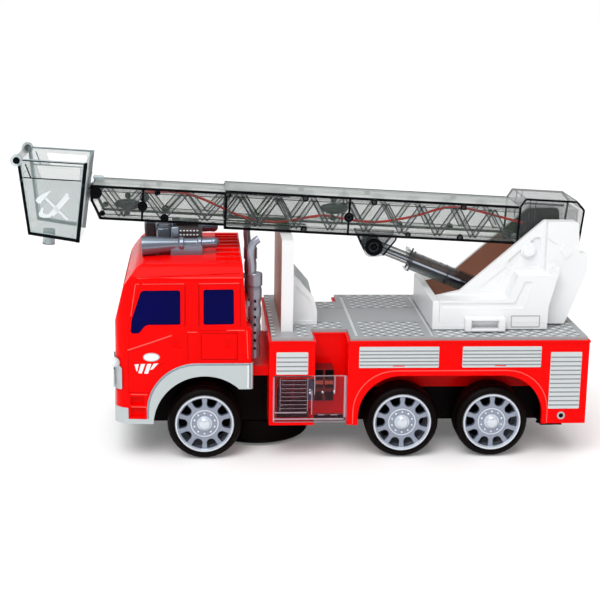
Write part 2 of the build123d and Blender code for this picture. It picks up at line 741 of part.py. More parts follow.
# ================================================================ cab
CAB_SIDE = (
    # x, z, corner radius
    (CAB_REAR_X, CAB_BOTTOM_Z, 0),
    (CAB_REAR_X, CAB_WAIST_Z, 0.8),
    (CAB_BACK_X - 0.8, CAB_WAIST_Z + 3, 0.8),
    (CAB_BACK_X + 1.4, ROOF_REAR_Z, 3.0),
    (36.5, ROOF_FRONT_Z, 9.0),
    (44.6, 101.0, 6.0),
    (51.2, 74.0, 20.0),
    (CAB_NOSE_X, 58.0, 20.0),
    (CAB_NOSE_X - 0.8, CAB_BOTTOM_Z, 2.0),
)
CAB_FRONT = (
    # y, z, corner radius
    (-CAB_HALF_W, CAB_BOTTOM_Z, 0),
    (-CAB_HALF_W, GUTTER_Z, 3.0),
    (-ROOF_HALF_W, ROOF_EDGE_Z + 0.6, 5.0),
    (0, ROOF_REAR_Z + 0.4, 160.0),
    (ROOF_HALF_W, ROOF_EDGE_Z + 0.6, 5.0),
    (CAB_HALF_W, GUTTER_Z, 3.0),
    (CAB_HALF_W, CAB_BOTTOM_Z, 0),
)
CAB_PLAN = (
    # x, y, corner radius
    (CAB_REAR_X, -CAB_HALF_W, 1.5),
    (30.0, -CAB_HALF_W, 40.0),
    (CAB_NOSE_X - 3.0, -CAB_HALF_W + 1.6, 9.0),
    (CAB_NOSE_X, 0, 400.0),
    (CAB_NOSE_X - 3.0, CAB_HALF_W - 1.6, 9.0),
    (30.0, CAB_HALF_W, 40.0),
    (CAB_REAR_X, CAB_HALF_W, 1.5),
)


def cab_solid(inset):
    """The cab's outer form, drawn in by an inset: where three outlines meet."""
    side = outline(drawn_in(CAB_SIDE, inset))
    front = outline(drawn_in(CAB_FRONT, inset))
    plan = outline(drawn_in(CAB_PLAN, inset))
    wide = CAB_HALF_W + 5
    solid = side_prism(side, -wide, wide)
    solid &= front_prism(front, CAB_REAR_X - 5, CAB_NOSE_X + 5)
    solid &= plan_prism(plan, 0, ROOF_REAR_Z + 10)
    return solid


def trim_outline():
    """Bumper and wheel arch trim in side view: one moulding."""
    face = outline((
        (CAB_NOSE_X + 5, CAB_BOTTOM_Z, 0),
        (CAB_NOSE_X + 5, BUMPER_TOP_Z, 0),
        (BUMPER_BACK_X, BUMPER_TOP_Z, 0.8),
        (BUMPER_BACK_X, TRIM_SILL_Z, 0),
        (TRIM_OUTER_X, TRIM_SILL_Z, 0),
        (TRIM_OUTER_X, TRIM_TOP_Z, TRIM_ROUND),
        (CAB_REAR_X - 5, TRIM_TOP_Z, 0),
        (CAB_REAR_X - 5, CAB_SILL_Z, 0),
        (0, CAB_SILL_Z, 0),
        (0, CAB_BOTTOM_Z, 0),
    ))
    return face - wheel_arch(0)


def wheel_arch(grow):
    return Pos(0, TYRE_R) * Circle(WHEEL_ARCH_R + grow)


WINDOWS = {
    "front_door": (
        # x, z, corner radius
        (34.8, 98.6, 2.5),
        (13.3, 98.9, 1.6),
        (13.3, 79.2, 1.0),
        (32.3, 79.0, 4.0),
        (36.4, 74.0, 2.5),
        (41.0, 74.0, 1.5),
        (40.2, 82.0, 6.0),
    ),
    "rear_door": (
        (0.6, 99.2, 1.2),
        (-16.1, 99.4, 1.2),
        (-16.4, 79.3, 1.2),
        (0.6, 79.1, 1.2),
    ),
}
SCREEN = (
    # y, z, corner radius
    (-SCREEN_HALF_W, 72.0, 4.0),
    (-SCREEN_HALF_W + 3.0, 102.0, 5.0),
    (SCREEN_HALF_W - 3.0, 102.0, 5.0),
    (SCREEN_HALF_W, 72.0, 4.0),
)


def window_cutters():
    """Prisms through the cab's walls: side windows and windscreen."""
    cutters = []
    for rows in WINDOWS.values():
        cutters.append(side_prism(outline(rows), CAB_HALF_W - 6, CAB_HALF_W + 6))
        cutters.append(side_prism(outline(rows), -CAB_HALF_W - 6, -CAB_HALF_W + 6))
    cutters.append(front_prism(outline(SCREEN), SCREEN_CUT_X, CAB_NOSE_X + 6))
    return cutters


LAMP = (
    # x, z, corner radius
    (CAB_NOSE_X + 5, 41.0, 0),
    (46.0, 41.6, 0.8),
    (46.0, 54.0, 0.5),
    (47.3, 55.0, 0.3),
    (47.6, 59.3, 1.6),
    (CAB_NOSE_X + 5, 59.3, 0),
)


def lamp_block(grow):
    """Room that a headlamp takes in the cab's front corner."""
    return side_prism(outline(drawn_in(LAMP, -grow)), LAMP_INNER_Y - grow, CAB_HALF_W + 5)


DOORS = {
    "front": (
        # x, z, corner radius
        (10.6, 102.6, 1.0),
        (35.0, 102.6, 3.0),
        (42.2, 80.0, 20.0),
        (42.5, STEP_TOP_Z + 0.8, 0),
        (10.6, STEP_TOP_Z + 0.8, 0),
    ),
    "rear": (
        (3.4, 102.9, 1.0),
        (-17.9, 102.9, 1.0),
        (-17.9, 50.0, 0),
        (3.4, 50.0, 0),
    ),
}
# Straight grooves in the cab's sides: from x, z to x, z
CAB_LINES = (
    ((36.3, 105.8), (-19.5, 107.8)),
    ((2.6, 75.8), (-17.2, 75.8)),
    ((9.6, 74.9), (4.1, 74.9)),
    ((27.9, 54.1), (22.0, 57.6)),
)
CREASE = ((42.6, 64.6), (18.1, 73.3))
# Door handles: front end x, rear end x, bottom z, top z
HANDLES = ((17.2, 12.6, 66.0, 70.8), (-11.4, -16.0, 66.0, 70.8))


def cab_grooves():
    """What is let into the cab's skin: door gaps, straight lines and handle recesses."""
    deep = CAB_HALF_W - 6
    wide = CAB_HALF_W + 6
    lines = Compound([side_prism(ring_outline(rows, LINE_W), deep, wide) for rows in DOORS.values()])
    for one, two in CAB_LINES:
        lines += side_prism(strip(one, two, LINE_W), deep, wide)
    grooves = lines & (cab_solid(0) - cab_solid(LINE_DEPTH))
    for front, rear, low, high in HANDLES:
        grooves += box(rear, front, CAB_HALF_W - HANDLE_DEPTH, wide, low, high)
    return both_sides(grooves)


def cab_ridges():
    """What stands out of the cab's skin: the crease under the front window and the roof's ribs."""
    crease = side_prism(strip(*CREASE, LINE_W), CAB_HALF_W - 6, CAB_HALF_W + 6)
    ridges = crease & (cab_solid(-RIDGE_H) - cab_solid(LINE_DEPTH))
    ribs = None
    for row in range(ROOF_RIB_ROWS):
        y = (row + 0.5) * ROOF_RIB_PITCH
        rib = box(ROOF_RIB_REAR_X, ROOF_RIB_FRONT_X, y - ROOF_RIB_W / 2, y + ROOF_RIB_W / 2,
                  ROOF_EDGE_Z - 6, ROOF_REAR_Z + 5)
        ribs = rib if ribs is None else ribs + rib
    ridges += ribs & (cab_solid(-ROOF_RIB_H) - cab_solid(LINE_DEPTH))
    return both_sides(ridges)


def foothold_block():
    """Solid corner behind the bumper that the two footholds are let into."""
    inner = CAB_HALF_W - STEP_DEPTH - STEP_BACK
    return box(TRIM_OUTER_X, BUMPER_BACK_X, inner, CAB_HALF_W, TRIM_SILL_Z, STEP_TOP_Z) & cab_solid(0)


def footholds():
    steps = None
    heights = (
        (TRIM_SILL_Z + STEP_RIM, STEP_MIDDLE_Z),
        (STEP_MIDDLE_Z + STEP_RIM, STEP_TOP_Z - STEP_RIM),
    )
    for low, high in heights:
        step = box(TRIM_OUTER_X + STEP_RIM, BUMPER_BACK_X - STEP_RIM, CAB_HALF_W - STEP_DEPTH, CAB_HALF_W + 5,
                   low, high)
        steps = step if steps is None else steps + step
    return both_sides(steps)


def grille_block(grow):
    return box(CAB_NOSE_X - 3 - grow, CAB_NOSE_X + 5, -GRILLE_HALF_W - grow, GRILLE_HALF_W + grow,
               GRILLE_BOTTOM_Z - grow, GRILLE_TOP_Z + grow)


def stack_groove(grow):
    """Upright groove in the cab's back wall for an exhaust stack."""
    height = ROOF_REAR_Z
    return Pos(STACK_X, STACK_Y, height / 2) * Cylinder(STACK_R + STACK_GROOVE + grow, height + 20)


def cab_shell():
    shell = cab_solid(0)
    cavity = cab_solid(CAB_WALL)
    cavity -= both_sides(stack_groove(CAB_WALL))
    cavity -= both_sides(lamp_block(CAB_WALL)) + grille_block(CAB_WALL)
    shell -= cavity
    shell -= both_sides(stack_groove(0))
    shell -= both_sides(lamp_block(0)) + grille_block(0)
    wide = CAB_HALF_W + 2
    shell -= side_prism(wheel_arch(0), -wide, wide)
    shell -= box(CAB_REAR_X - 1, 12, -wide, wide, 0, CAB_SILL_Z)
    tower_y = CHASSIS_HALF_W + SEAT_PLAY
    shell -= box(CAB_REAR_X - 1, TOWER_FRONT_X, -tower_y, tower_y, 0, TOWER_TOP_Z)
    shell -= box(CAB_REAR_X - 1, CAB_NOSE_X - 8, -CAB_HALF_W + CAB_WALL, CAB_HALF_W - CAB_WALL, 0, CAB_SILL_Z)
    shell -= trim_space()
    for cutter in window_cutters():
        shell -= cutter
    shell += cab_ridges()
    shell -= cab_grooves()
    shell += both_sides(foothold_block())
    shell -= footholds()
    floor = box(CAB_REAR_X, FLOOR_FRONT_X, -CAB_HALF_W, CAB_HALF_W, FLOOR_Z, FLOOR_Z + FLOOR_T)
    shell += floor & cavity
    rib = box(CAB_REAR_X + CAB_WALL, TOWER_FRONT_X, CHASSIS_HALF_W - CAB_WALL, CHASSIS_HALF_W,
              TOWER_TOP_Z, FLOOR_Z + FLOOR_T)
    shell += both_sides(rib)
    return shell


def trim_space():
    """Where the silver trim lies in the cab's skin."""
    wide = CAB_HALF_W + 2
    skin = cab_solid(0) - cab_solid(CAB_WALL)
    return (side_prism(trim_outline(), -wide, wide) & skin) - trim_inner()


def trim_inner():
    inner = CAB_HALF_W - CAB_WALL
    return box(CAB_REAR_X - 1, BUMPER_BACK_X, -inner, inner, 0, TRIM_TOP_Z + 1)


def bumper_trim():
    wide = CAB_HALF_W + 2
    skin = cab_solid(-TRIM_PROUD) - cab_solid(CAB_WALL)
    trim = (side_prism(trim_outline(), -wide, wide) & skin) - trim_inner()
    fog = Pos(CAB_NOSE_X, FOG_Y, FOG_Z) * Rot(0, 90, 0) * Cylinder(FOG_R, 2 * FOG_DEPTH)
    return trim - both_sides(fog)


def cab_glazing():
    """Blue panes a little inside the cab's skin."""
    layer = cab_solid(GLASS_DEPTH) - cab_solid(GLASS_DEPTH + GLASS_T)
    panes = None
    for cutter in window_cutters():
        pane = cutter & layer
        panes = pane if panes is None else panes + pane
    return panes


def headlamps():
    lamp = (cab_solid(-LAMP_PROUD) - cab_solid(1.2)) & lamp_block(-SEAT_PLAY)
    return both_sides(lamp)


def headlamp_bowls():
    bowl = (cab_solid(1.4) & lamp_block(-SEAT_PLAY))
    return both_sides(bowl)


def grille():
    frame = cab_solid(0) & grille_block(-SEAT_PLAY)
    pitch = (GRILLE_TOP_Z - GRILLE_BOTTOM_Z) / GRILLE_BARS
    for bar in range(GRILLE_BARS):
        low = GRILLE_BOTTOM_Z + bar * pitch + GRILLE_BAR_T / 2
        frame -= box(CAB_NOSE_X - 1.6, CAB_NOSE_X + 5, -GRILLE_HALF_W + 2, GRILLE_HALF_W - 2,
                     low, low + pitch - GRILLE_BAR_T)
    return frame


# ================================================================ roof fittings and stacks
def horn():
    """Air horn about its own axis, mouth at X = 0 and ball at the rear."""
    length = HORN_MOUTH_X - HORN_BALL_X
    section = outline((
        (0, 0, 0),
        (0, HORN_MOUTH_R, 0.3),
        (-20.5, 3.6, 0),
        (-21.5, 4.3, 0.3),
        (-23.5, 4.3, 0.3),
        (-24.0, 3.4, 0),
        (-31.0, 3.0, 0),
        (-32.0, 3.5, 0.3),
        (-33.5, 3.5, 0.3),
        (-34.0, HORN_THROAT_R, 0),
        (-length, HORN_THROAT_R, 0),
        (-length, 0, 0),
    ))
    solid = revolve(section, Axis.X)
    solid += Pos(-length, 0, 0) * Sphere(HORN_BALL_R)
    bore = Polygon((1, 0), (1, HORN_BORE + 0.3), (-12, HORN_BORE - 1.6), (-12, 0))
    return solid - revolve(bore, Axis.X)


def roof_horns():
    set_back = Pos(HORN_MOUTH_X, HORN_Y, HORN_AXIS_Z) * Rot(0, 3.0, 0) * horn()
    foot = box(PLATE_REAR_X, PLATE_FRONT_X, HORN_Y - 3.5, HORN_Y + 3.5, ROOF_EDGE_Z - 2, HORN_AXIS_Z + 1)
    foot -= cab_solid(0)
    return both_sides(set_back - cab_solid(0) + foot)


def beacon_bar():
    bar = box(PLATE_REAR_X, PLATE_FRONT_X, -BEACON_HALF_Y, BEACON_HALF_Y, ROOF_EDGE_Z, BEACON_TOP_Z - 4)
    for side in (-1, 1):
        bar += box(PLATE_REAR_X + 2, PLATE_FRONT_X - 2, side * BEACON_HALF_Y, side * (BEACON_HALF_Y - 9),
                   BEACON_TOP_Z - 4.2, BEACON_TOP_Z)
    front, rear, half, top = FRONT_POD
    bar += box(rear, front, -half, half, ROOF_EDGE_Z - 4, top)
    return bar - cab_solid(0)


def stack_waves():
    """Corners of the heat shield's waves, from its foot to its top ring."""
    pitch = (STACK_RING_Z - STACK_BOTTOM_Z) / STACK_WAVES
    rows = []
    for wave in range(STACK_WAVES):
        low = STACK_BOTTOM_Z + wave * pitch
        grown = STACK_FOOT_R + (STACK_R - 0.3 - STACK_FOOT_R) * (wave + 1) / STACK_WAVES
        rows += [(grown, low + 0.35 * pitch, 0), (grown, low + 0.75 * pitch, 0)]
        rows += [(grown - STACK_WAIST, low + pitch, 0)]
    return rows


def exhaust_stack():
    section = outline((
        (0, STACK_BOTTOM_Z, 0),
        (STACK_FOOT_R, STACK_BOTTOM_Z, 0.6),
        *stack_waves(),
        (STACK_R, STACK_RING_Z, 0.4),
        (STACK_R, STACK_TOP_Z, 1.2),
        (0, STACK_TOP_Z, 0),
    ))
    stack = Pos(STACK_X, 0, 0) * turned(section)
    rise = PIPE_TIP_Z - PIPE_BEND_Z - PIPE_R * math.sin(math.pi / 4)
    path = FilletPolyline((PIPE_X, 0, STACK_TOP_Z - 2), (PIPE_X, 0, PIPE_BEND_Z),
                          (PIPE_X - rise, 0, PIPE_BEND_Z + rise), radius=PIPE_BEND_R)
    stack += sweep(Pos(PIPE_X, 0, STACK_TOP_Z - 2) * Circle(PIPE_R), path)
    groove = Pos(STACK_X, 0, STACK_RING_Z / 2) * Cylinder(STACK_R + STACK_GROOVE, STACK_RING_Z)
    for low in STACK_CLIPS:
        stack += box(STACK_X, STACK_X + 2 * STACK_R, -STACK_CLIP_W / 2, STACK_CLIP_W / 2,
                     low, low + STACK_CLIP_W) & groove
    return Pos(0, STACK_Y, 0) * stack


# ================================================================ ladder rest
def ladder_rest():
    top = ladder_underside(REST_REAR_X) - REST_GAP
    wall = box(REST_REAR_X, REST_FRONT_X, -REST_HALF_W, REST_HALF_W, DECK_TOP_Z, top)
    foot_x = REST_REAR_X - REST_GUSSET_REACH
    gusset = outline((
        (REST_REAR_X, DECK_TOP_Z, 0),
        (REST_REAR_X, DECK_TOP_Z + REST_GUSSET_H, 0),
        (REST_REAR_X - 3.5, DECK_TOP_Z + REST_GUSSET_H - 3, 2),
        (foot_x + 2, DECK_TOP_Z + 16, 3),
        (foot_x, DECK_TOP_Z + 8, 2),
        (foot_x, DECK_TOP_Z, 0),
    ))
    wing = side_prism(gusset, REST_GUSSET_Y - REST_GUSSET_T, REST_GUSSET_Y)
    panel = outline((
        (REST_REAR_X - REST_BORDER, DECK_TOP_Z + REST_BORDER, 0),
        (REST_REAR_X - REST_BORDER, DECK_TOP_Z + REST_GUSSET_H - 3 * REST_BORDER, 0.5),
        (foot_x + 2 + REST_BORDER, DECK_TOP_Z + 15, 2),
        (foot_x + REST_BORDER, DECK_TOP_Z + 8, 1),
        (foot_x + REST_BORDER, DECK_TOP_Z + REST_BORDER, 0),
    ))
    wing -= side_prism(panel, REST_GUSSET_Y - REST_PANEL_DEPTH, REST_GUSSET_Y + 1)
    return wall + both_sides(wing)


# ================================================================ turret
def turret_base():
    low = DECK_TOP_Z + TURRET_GAP
    base = box(CONSOLE_REAR_X, TURRET_FRONT_X, -TURRET_HALF_W, TURRET_HALF_W, low, low + TURRET_FLOOR_T)
    base += box(TURRET_FRONT_X - TURRET_FRONT_T, TURRET_FRONT_X, -TURRET_HALF_W, TURRET_HALF_W,
                low, CONSOLE_TOP_Z)
    base += Pos(SLEW_X, 0, low - 6) * Cylinder(TURRET_PIN_R, 12 + TURRET_FLOOR_T)
    return base


CHEEK = (
    # x, z, corner radius
    (CHEEK_FOOT_X + 16, CONSOLE_TOP_Z - 1, 0),
    (CHEEK_FOOT_X, CHEEK_FOOT_Z, 0),
    (CHEEK_RIDGE_X, CHEEK_RIDGE_Z, 2.0),
    (CHEEK_REAR_X, CHEEK_RIDGE_Z, 2.0),
    (CHEEK_REAR_X - 2, CHEEK_BACK_Z, 0),
    (CHEEK_BACK_X, CHEEK_BACK_Z, 1.0),
    (CHEEK_BACK_X, CHEEK_BACK_Z - 11, 2.0),
    (CHEEK_HEEL_X, DECK_TOP_Z + TURRET_GAP + 1, 1.0),
    (CHEEK_FOOT_X + 16, DECK_TOP_Z + TURRET_GAP + 1, 0),
)
CONSOLE = (
    (TURRET_FRONT_X, DECK_TOP_Z + TURRET_GAP, 0),
    (TURRET_FRONT_X, CONSOLE_TOP_Z, 0.8),
    (CONSOLE_RISER_X, CONSOLE_TOP_Z + 1, 0),
    (CONSOLE_SHELF_X, CONSOLE_SHELF_Z, 0.8),
    (CONSOLE_HOOK_X + 5, CONSOLE_SHELF_Z, 0.5),
    (CONSOLE_HOOK_X + 3, CONSOLE_HOOK_Z, 0.5),
    (CONSOLE_HOOK_X, CONSOLE_HOOK_Z - 1.5, 1.0),
    (CONSOLE_REAR_X, 85.0, 3.0),
    (CONSOLE_REAR_X, DECK_TOP_Z + TURRET_GAP, 0),
)


CONSOLE_BAND = (
    # x, z, corner radius
    (TURRET_FRONT_X - TURRET_FRONT_T - 0.8, CONSOLE_TOP_Z - 1.2, 0),
    (CONSOLE_RISER_X - 4.0, CONSOLE_TOP_Z - 1.2, 0.5),
    (CONSOLE_SHELF_X - 4.0, CONSOLE_SHELF_Z - 3.6, 0.5),
    (CONSOLE_SHELF_X - 8.0, CONSOLE_SHELF_Z - 3.6, 0.5),
    (CONSOLE_RISER_X - 9.0, CONSOLE_TOP_Z - 4.2, 0.5),
    (TURRET_FRONT_X - TURRET_FRONT_T - 0.8, CONSOLE_TOP_Z - 3.8, 0),
)
CHEEK_POCKET = (
    (-174.7, 109.0, 1.0),
    (-190.7, 123.2, 1.0),
    (-193.9, 123.2, 1.0),
    (-193.9, 105.3, 1.0),
    (-176.9, 106.3, 1.0),
)
CHEEK_PANEL = (
    (-157.6, 92.1, 0.6),
    (-175.3, 106.4, 0.6),
    (-169.7, 92.1, 0.6),
)
CHEEK_TABS = (
    ((-195.6, 124.2, 0.5), (-197.1, 126.8, 0.5), (-203.2, 121.1, 0.5), (-202.2, 120.0, 0.5)),
    ((-203.9, 116.9, 0.5), (-206.3, 120.0, 0.5), (-211.3, 115.3, 0.5), (-207.9, 111.1, 0.5)),
)


def turret_side():
    """Left cheek plate, its rear cover and the console beside it."""
    low = DECK_TOP_Z + TURRET_GAP
    cheek = side_prism(outline(CHEEK), CHEEK_INNER_Y, CHEEK_INNER_Y + CHEEK_T)
    cover = side_prism(outline(CHEEK), CHEEK_INNER_Y, CHEEK_COVER_Y)
    cover &= box(CHEEK_BACK_X, CHEEK_RIDGE_X - 1, 0, CHEEK_COVER_Y, low, CHEEK_RIDGE_Z)
    console = side_prism(outline(CONSOLE), CHEEK_INNER_Y + CHEEK_T, TURRET_HALF_W)
    side = cheek + cover + console
    side -= box(CONSOLE_REAR_X, TURRET_FRONT_X, -TURRET_HALF_W, TURRET_HALF_W + 1,
                low - 1, low + TURRET_FLOOR_T)
    side -= box(TURRET_FRONT_X - TURRET_FRONT_T, TURRET_FRONT_X + 1, 0, TURRET_HALF_W + 1,
                low - 1, CONSOLE_TOP_Z + 1)
    skin = CHEEK_INNER_Y + CHEEK_T
    side -= side_prism(outline(CONSOLE_BAND), TURRET_HALF_W - BAND_DEPTH, TURRET_HALF_W + 1)
    pocket = outline(CHEEK_POCKET) - Pos(PIVOT_X, PIVOT_Z) * Circle(POCKET_BOSS_R)
    side -= side_prism(pocket, skin - POCKET_DEPTH, skin + 1)
    side -= side_prism(outline(CHEEK_PANEL), skin - PANEL_DEPTH, skin + 1)
    for rows in CHEEK_TABS:
        side += side_prism(outline(rows), CHEEK_COVER_Y - 1, CHEEK_COVER_Y + TAB_OUT)
    front, rear, top = KNOB_PLATE
    side += box(rear, front, TURRET_HALF_W - 1, TURRET_HALF_W + KNOB_PLATE_OUT, low + TURRET_FLOOR_T, top)
    side += box(rear, front, TURRET_HALF_W, TURRET_HALF_W + KNOB_PLATE_OUT, low, top)
    front, rear, top = KNOB_POCKET
    side -= box(rear, front, TURRET_HALF_W + KNOB_PLATE_OUT - KNOB_POCKET_DEPTH, TURRET_HALF_W + 5,
                low - 1, top)
    side -= cylinder_y(PIVOT_X, PIVOT_Z, PIVOT_PIN_R + SEAT_PLAY, 0, CHEEK_COVER_Y + 1)
    side -= cylinder_y(BARREL_X, BARREL_Z, BARREL_PIN_R + SEAT_PLAY, 0, CHEEK_INNER_Y + 2)
    return side


def elevation_pin():
    reach = CHEEK_INNER_Y + CHEEK_T + 1.5
    pin = cylinder_y(PIVOT_X, PIVOT_Z, PIVOT_PIN_R, -reach, reach)
    head = cylinder_y(PIVOT_X, PIVOT_Z, PIVOT_PIN_R + PIN_HEAD, CHEEK_INNER_Y + CHEEK_T, reach)
    return pin + both_sides(head)


def barrel_pin():
    reach = CHEEK_INNER_Y + 1.8
    return cylinder_y(BARREL_X, BARREL_Z, BARREL_PIN_R, -reach, reach)


# ================================================================ ladder
def lattice(rear, pitch, low, high, bays, y_low, y_high):
    """Zig-zag ribs of a side wall, between the rails above and below."""
    ribs = None
    for bay in range(bays):
        start = rear + bay * pitch
        end = start + pitch
        foot, head = (low, high) if bay % 2 == 0 else (high, low)
        length = math.hypot(end - start, head - foot)
        lean = RIB_W / 2 * length / abs(head - foot)
        bar = Polygon((start - lean, foot), (start + lean, foot), (end + lean, head), (end - lean, head))
        piece = side_prism(bar, y_low, y_high)
        ribs = piece if ribs is None else ribs + piece
    return ribs


def ladder_half(rear, front, low, high, half_w, lattice_rear, pitch, bays):
    """Left half of a hollow ladder section: side wall, half roof and half floor."""
    web = half_w - RIB_OUT
    half = box(rear, front, 0, web, low, high)
    half -= box(rear - 1, front + 1, -1, web - BOOM_WALL, low + BOOM_WALL, high - BOOM_WALL)
    half += box(rear, front, web - 1, half_w, low, low + RAIL_H)
    half += box(rear, front, web - 1, half_w, high - RAIL_H, high)
    half += box(front - RAIL_H, front, web - 1, half_w, low, high)
    ribs = lattice(lattice_rear, pitch, low + RAIL_H - 0.2, high - RAIL_H + 0.2, bays,
                   web - 0.5, half_w - 0.2)
    half += ribs & box(rear, front - 1, 0, half_w, low, high)
    return half


def side_bosses(places, ring, low, high, half_w):
    """Small bosses at the rails, and a ring boss on an upright divider."""
    bosses = box(ring[0] - DIVIDER_W / 2, ring[0] + DIVIDER_W / 2, half_w - RIB_OUT - 0.5, half_w, low, high)
    bosses += cylinder_y(*ring, RING_R, half_w - RIB_OUT - 0.5, half_w + BOSS_OUT / 2)
    bosses -= cylinder_y(*ring, RING_HOLE_R, half_w - RIB_OUT, half_w + 1)
    for along, up in places:
        bosses += cylinder_y(along, up, BOSS_R, half_w - RIB_OUT - 0.5, half_w + BOSS_OUT / 2)
    return bosses & box(0, FLY_FRONT, 0, half_w + BOSS_OUT, low, high)


def boom_left():
    half = ladder_half(BOOM_REAR, BOOM_FRONT, BOOM_BOTTOM, BOOM_TOP, BOOM_HALF_W,
                       BOOM_LATTICE_REAR, BAY_L, BOOM_BAYS)
    half += side_bosses(BOOM_BOSSES, BOOM_RING, BOOM_BOTTOM, BOOM_TOP, BOOM_HALF_W)
    # ear that hangs from the side wall to the elevation hinge
    ear = outline((
        (-9.0, 6.0, 0),
        (-5.5, -5.0, 4.0),
        (5.5, -5.0, 4.0),
        (9.0, 6.0, 0),
    ))
    half += side_prism(ear, BOOM_HALF_W - RIB_OUT - EAR_T, BOOM_HALF_W)
    half -= cylinder_y(0, 0, PIVOT_PIN_R + AXLE_PLAY, 0, BOOM_HALF_W + 1)
    return half


def fly_half_w():
    return BOOM_HALF_W - RIB_OUT - BOOM_WALL - FLY_SIDE_GAP


def fly_left():
    low = BOOM_BOTTOM + BOOM_WALL + FLY_FIT
    high = BOOM_TOP - BOOM_WALL - FLY_FIT
    half_w = fly_half_w()
    half = ladder_half(FLY_REAR, FLY_FRONT, low, high, half_w, FLY_LATTICE_REAR, FLY_BAY_L, FLY_BAYS)
    half += side_bosses(FLY_BOSSES, FLY_RING, low, high, half_w) & box(0, FLY_FRONT, 0, half_w, low, high)
    nose = outline((
        (FLY_REAR - 1, low - 1, 0),
        (FLY_FRONT - NOSE_CHAMFER - 1, low - 1, 0),
        (FLY_FRONT - NOSE_CHAMFER, low, 3.0),
        (FLY_FRONT - 0.6, low + 2 * NOSE_CHAMFER, 6.0),
        (FLY_FRONT, high, 3.0),
        (FLY_FRONT - NOSE_CHAMFER, high + 1, 0),
        (FLY_REAR - 1, high + 1, 0),
    ))
    half &= side_prism(nose, -1, half_w + 1)
    hinge_x, hinge_z = BASKET_HINGE
    wall_in = half_w - RIB_OUT - BOOM_WALL
    half += cylinder_y(hinge_x, hinge_z, NOSE_EAR_R, wall_in, half_w)
    half -= cylinder_y(hinge_x, hinge_z, HINGE_PIN_R + SEAT_PLAY, wall_in - 1, half_w + 1)
    return half


def boom_hood():
    low = HOOD_BOTTOM
    rows = (
        (HOOD_FRONT, low, 0),
        (HOOD_FRONT, HOOD_TOP - HOOD_CHAMFER, 1.0),
        (HOOD_FRONT - HOOD_CHAMFER * 0.6, HOOD_TOP, 1.0),
        (HOOD_REAR + HOOD_CHAMFER, HOOD_TOP, 1.0),
        (HOOD_REAR, HOOD_TOP - HOOD_CHAMFER, 1.0),
        (HOOD_REAR + 1.5, low, 0),
    )
    hood = side_prism(outline(rows), -HOOD_HALF_W, HOOD_HALF_W)
    for along, up in HOOD_BOSSES:
        hood += cylinder_y(along, up, BOSS_R, -HOOD_HALF_W - HOOD_RIB_H, HOOD_HALF_W + HOOD_RIB_H)
    for along in HOOD_RIBS:
        hood += box(along, along + HOOD_RIB_H * 2, -HOOD_HALF_W - HOOD_RIB_H, HOOD_HALF_W + HOOD_RIB_H,
                    HOOD_TOP - HOOD_CHAMFER * 3, HOOD_TOP - 1)
    inner = BOOM_HALF_W + 0.05
    hood -= box(BOOM_REAR - 0.05, HOOD_FRONT + 1, -inner, inner, low - 1, BOOM_TOP + 0.05)
    hood -= cylinder_y(0, 0, PIVOT_PIN_R + AXLE_PLAY, -HOOD_HALF_W - 1, HOOD_HALF_W + 1)
    return hood


def rod_lug():
    """Bracket under the boom that takes the lift rod between its two ears."""
    top = BOOM_BOTTOM
    ear = outline((
        (LUG_X - 13.4, top, 0),
        (LUG_X - 13.0, top - 3, 1.0),
        (LUG_X - 6.0, LUG_DROP - 5.4, 4.0),
        (LUG_X + 3.8, LUG_DROP - 6.6, 4.5),
        (LUG_X + 10.6, top, 0),
    ))
    ears = side_prism(ear, LUG_EAR_Y, LUG_EAR_Y + LUG_EAR_T)
    ears += cylinder_y(LUG_X, LUG_DROP, LUG_R, LUG_EAR_Y, LUG_EAR_Y + LUG_EAR_T + LUG_BOSS_OUT)
    return both_sides(ears)


# ================================================================ lift cylinder
def rod_eye():
    return ladder_point(LUG_X, LUG_DROP)


def lift_line():
    """Length and slope of the lift cylinder between its two pins, ladder lowered."""
    eye_x, eye_z = rod_eye()
    return math.hypot(eye_x - BARREL_X, eye_z - BARREL_Z), math.atan2(eye_z - BARREL_Z, eye_x - BARREL_X)


def on_lift(shape):
    """From the cylinder's own frame, along +X from the lower pin, to the vehicle's."""
    slope = math.degrees(lift_line()[1])
    return Pos(BARREL_X, 0, BARREL_Z) * Rot(0, -slope, 0) * shape


def lift_barrel():
    tube = Rot(0, 90, 0) * Pos(0, 0, BARREL_LENGTH / 2) * Cylinder(BARREL_R, BARREL_LENGTH)
    collar = Pos(0, 0, BARREL_LENGTH - COLLAR_L / 2) * Cylinder(BARREL_R + COLLAR_OUT, COLLAR_L)
    tube += Rot(0, 90, 0) * collar
    tube += cylinder_y(0, 0, BARREL_EYE_R, -7, 7)
    tube -= Rot(0, 90, 0) * Pos(0, 0, BARREL_LENGTH / 2 + 7) * Cylinder(ROD_R + ROD_PLAY, BARREL_LENGTH)
    tube -= cylinder_y(0, 0, BARREL_PIN_R + AXLE_PLAY, -8, 8)
    return on_lift(tube)


def lift_rod():
    reach = lift_line()[0]
    start = BARREL_LENGTH - ROD_INSIDE
    length = reach - start - 1
    rod = Rot(0, 90, 0) * Pos(0, 0, start + length / 2) * Cylinder(ROD_R, length)
    rod += cylinder_y(reach, 0, ROD_EYE_R, -ROD_EYE_HALF_W, ROD_EYE_HALF_W)
    return on_lift(rod)


# ================================================================ basket
def basket_point():
    return ladder_point(*BASKET_HINGE)


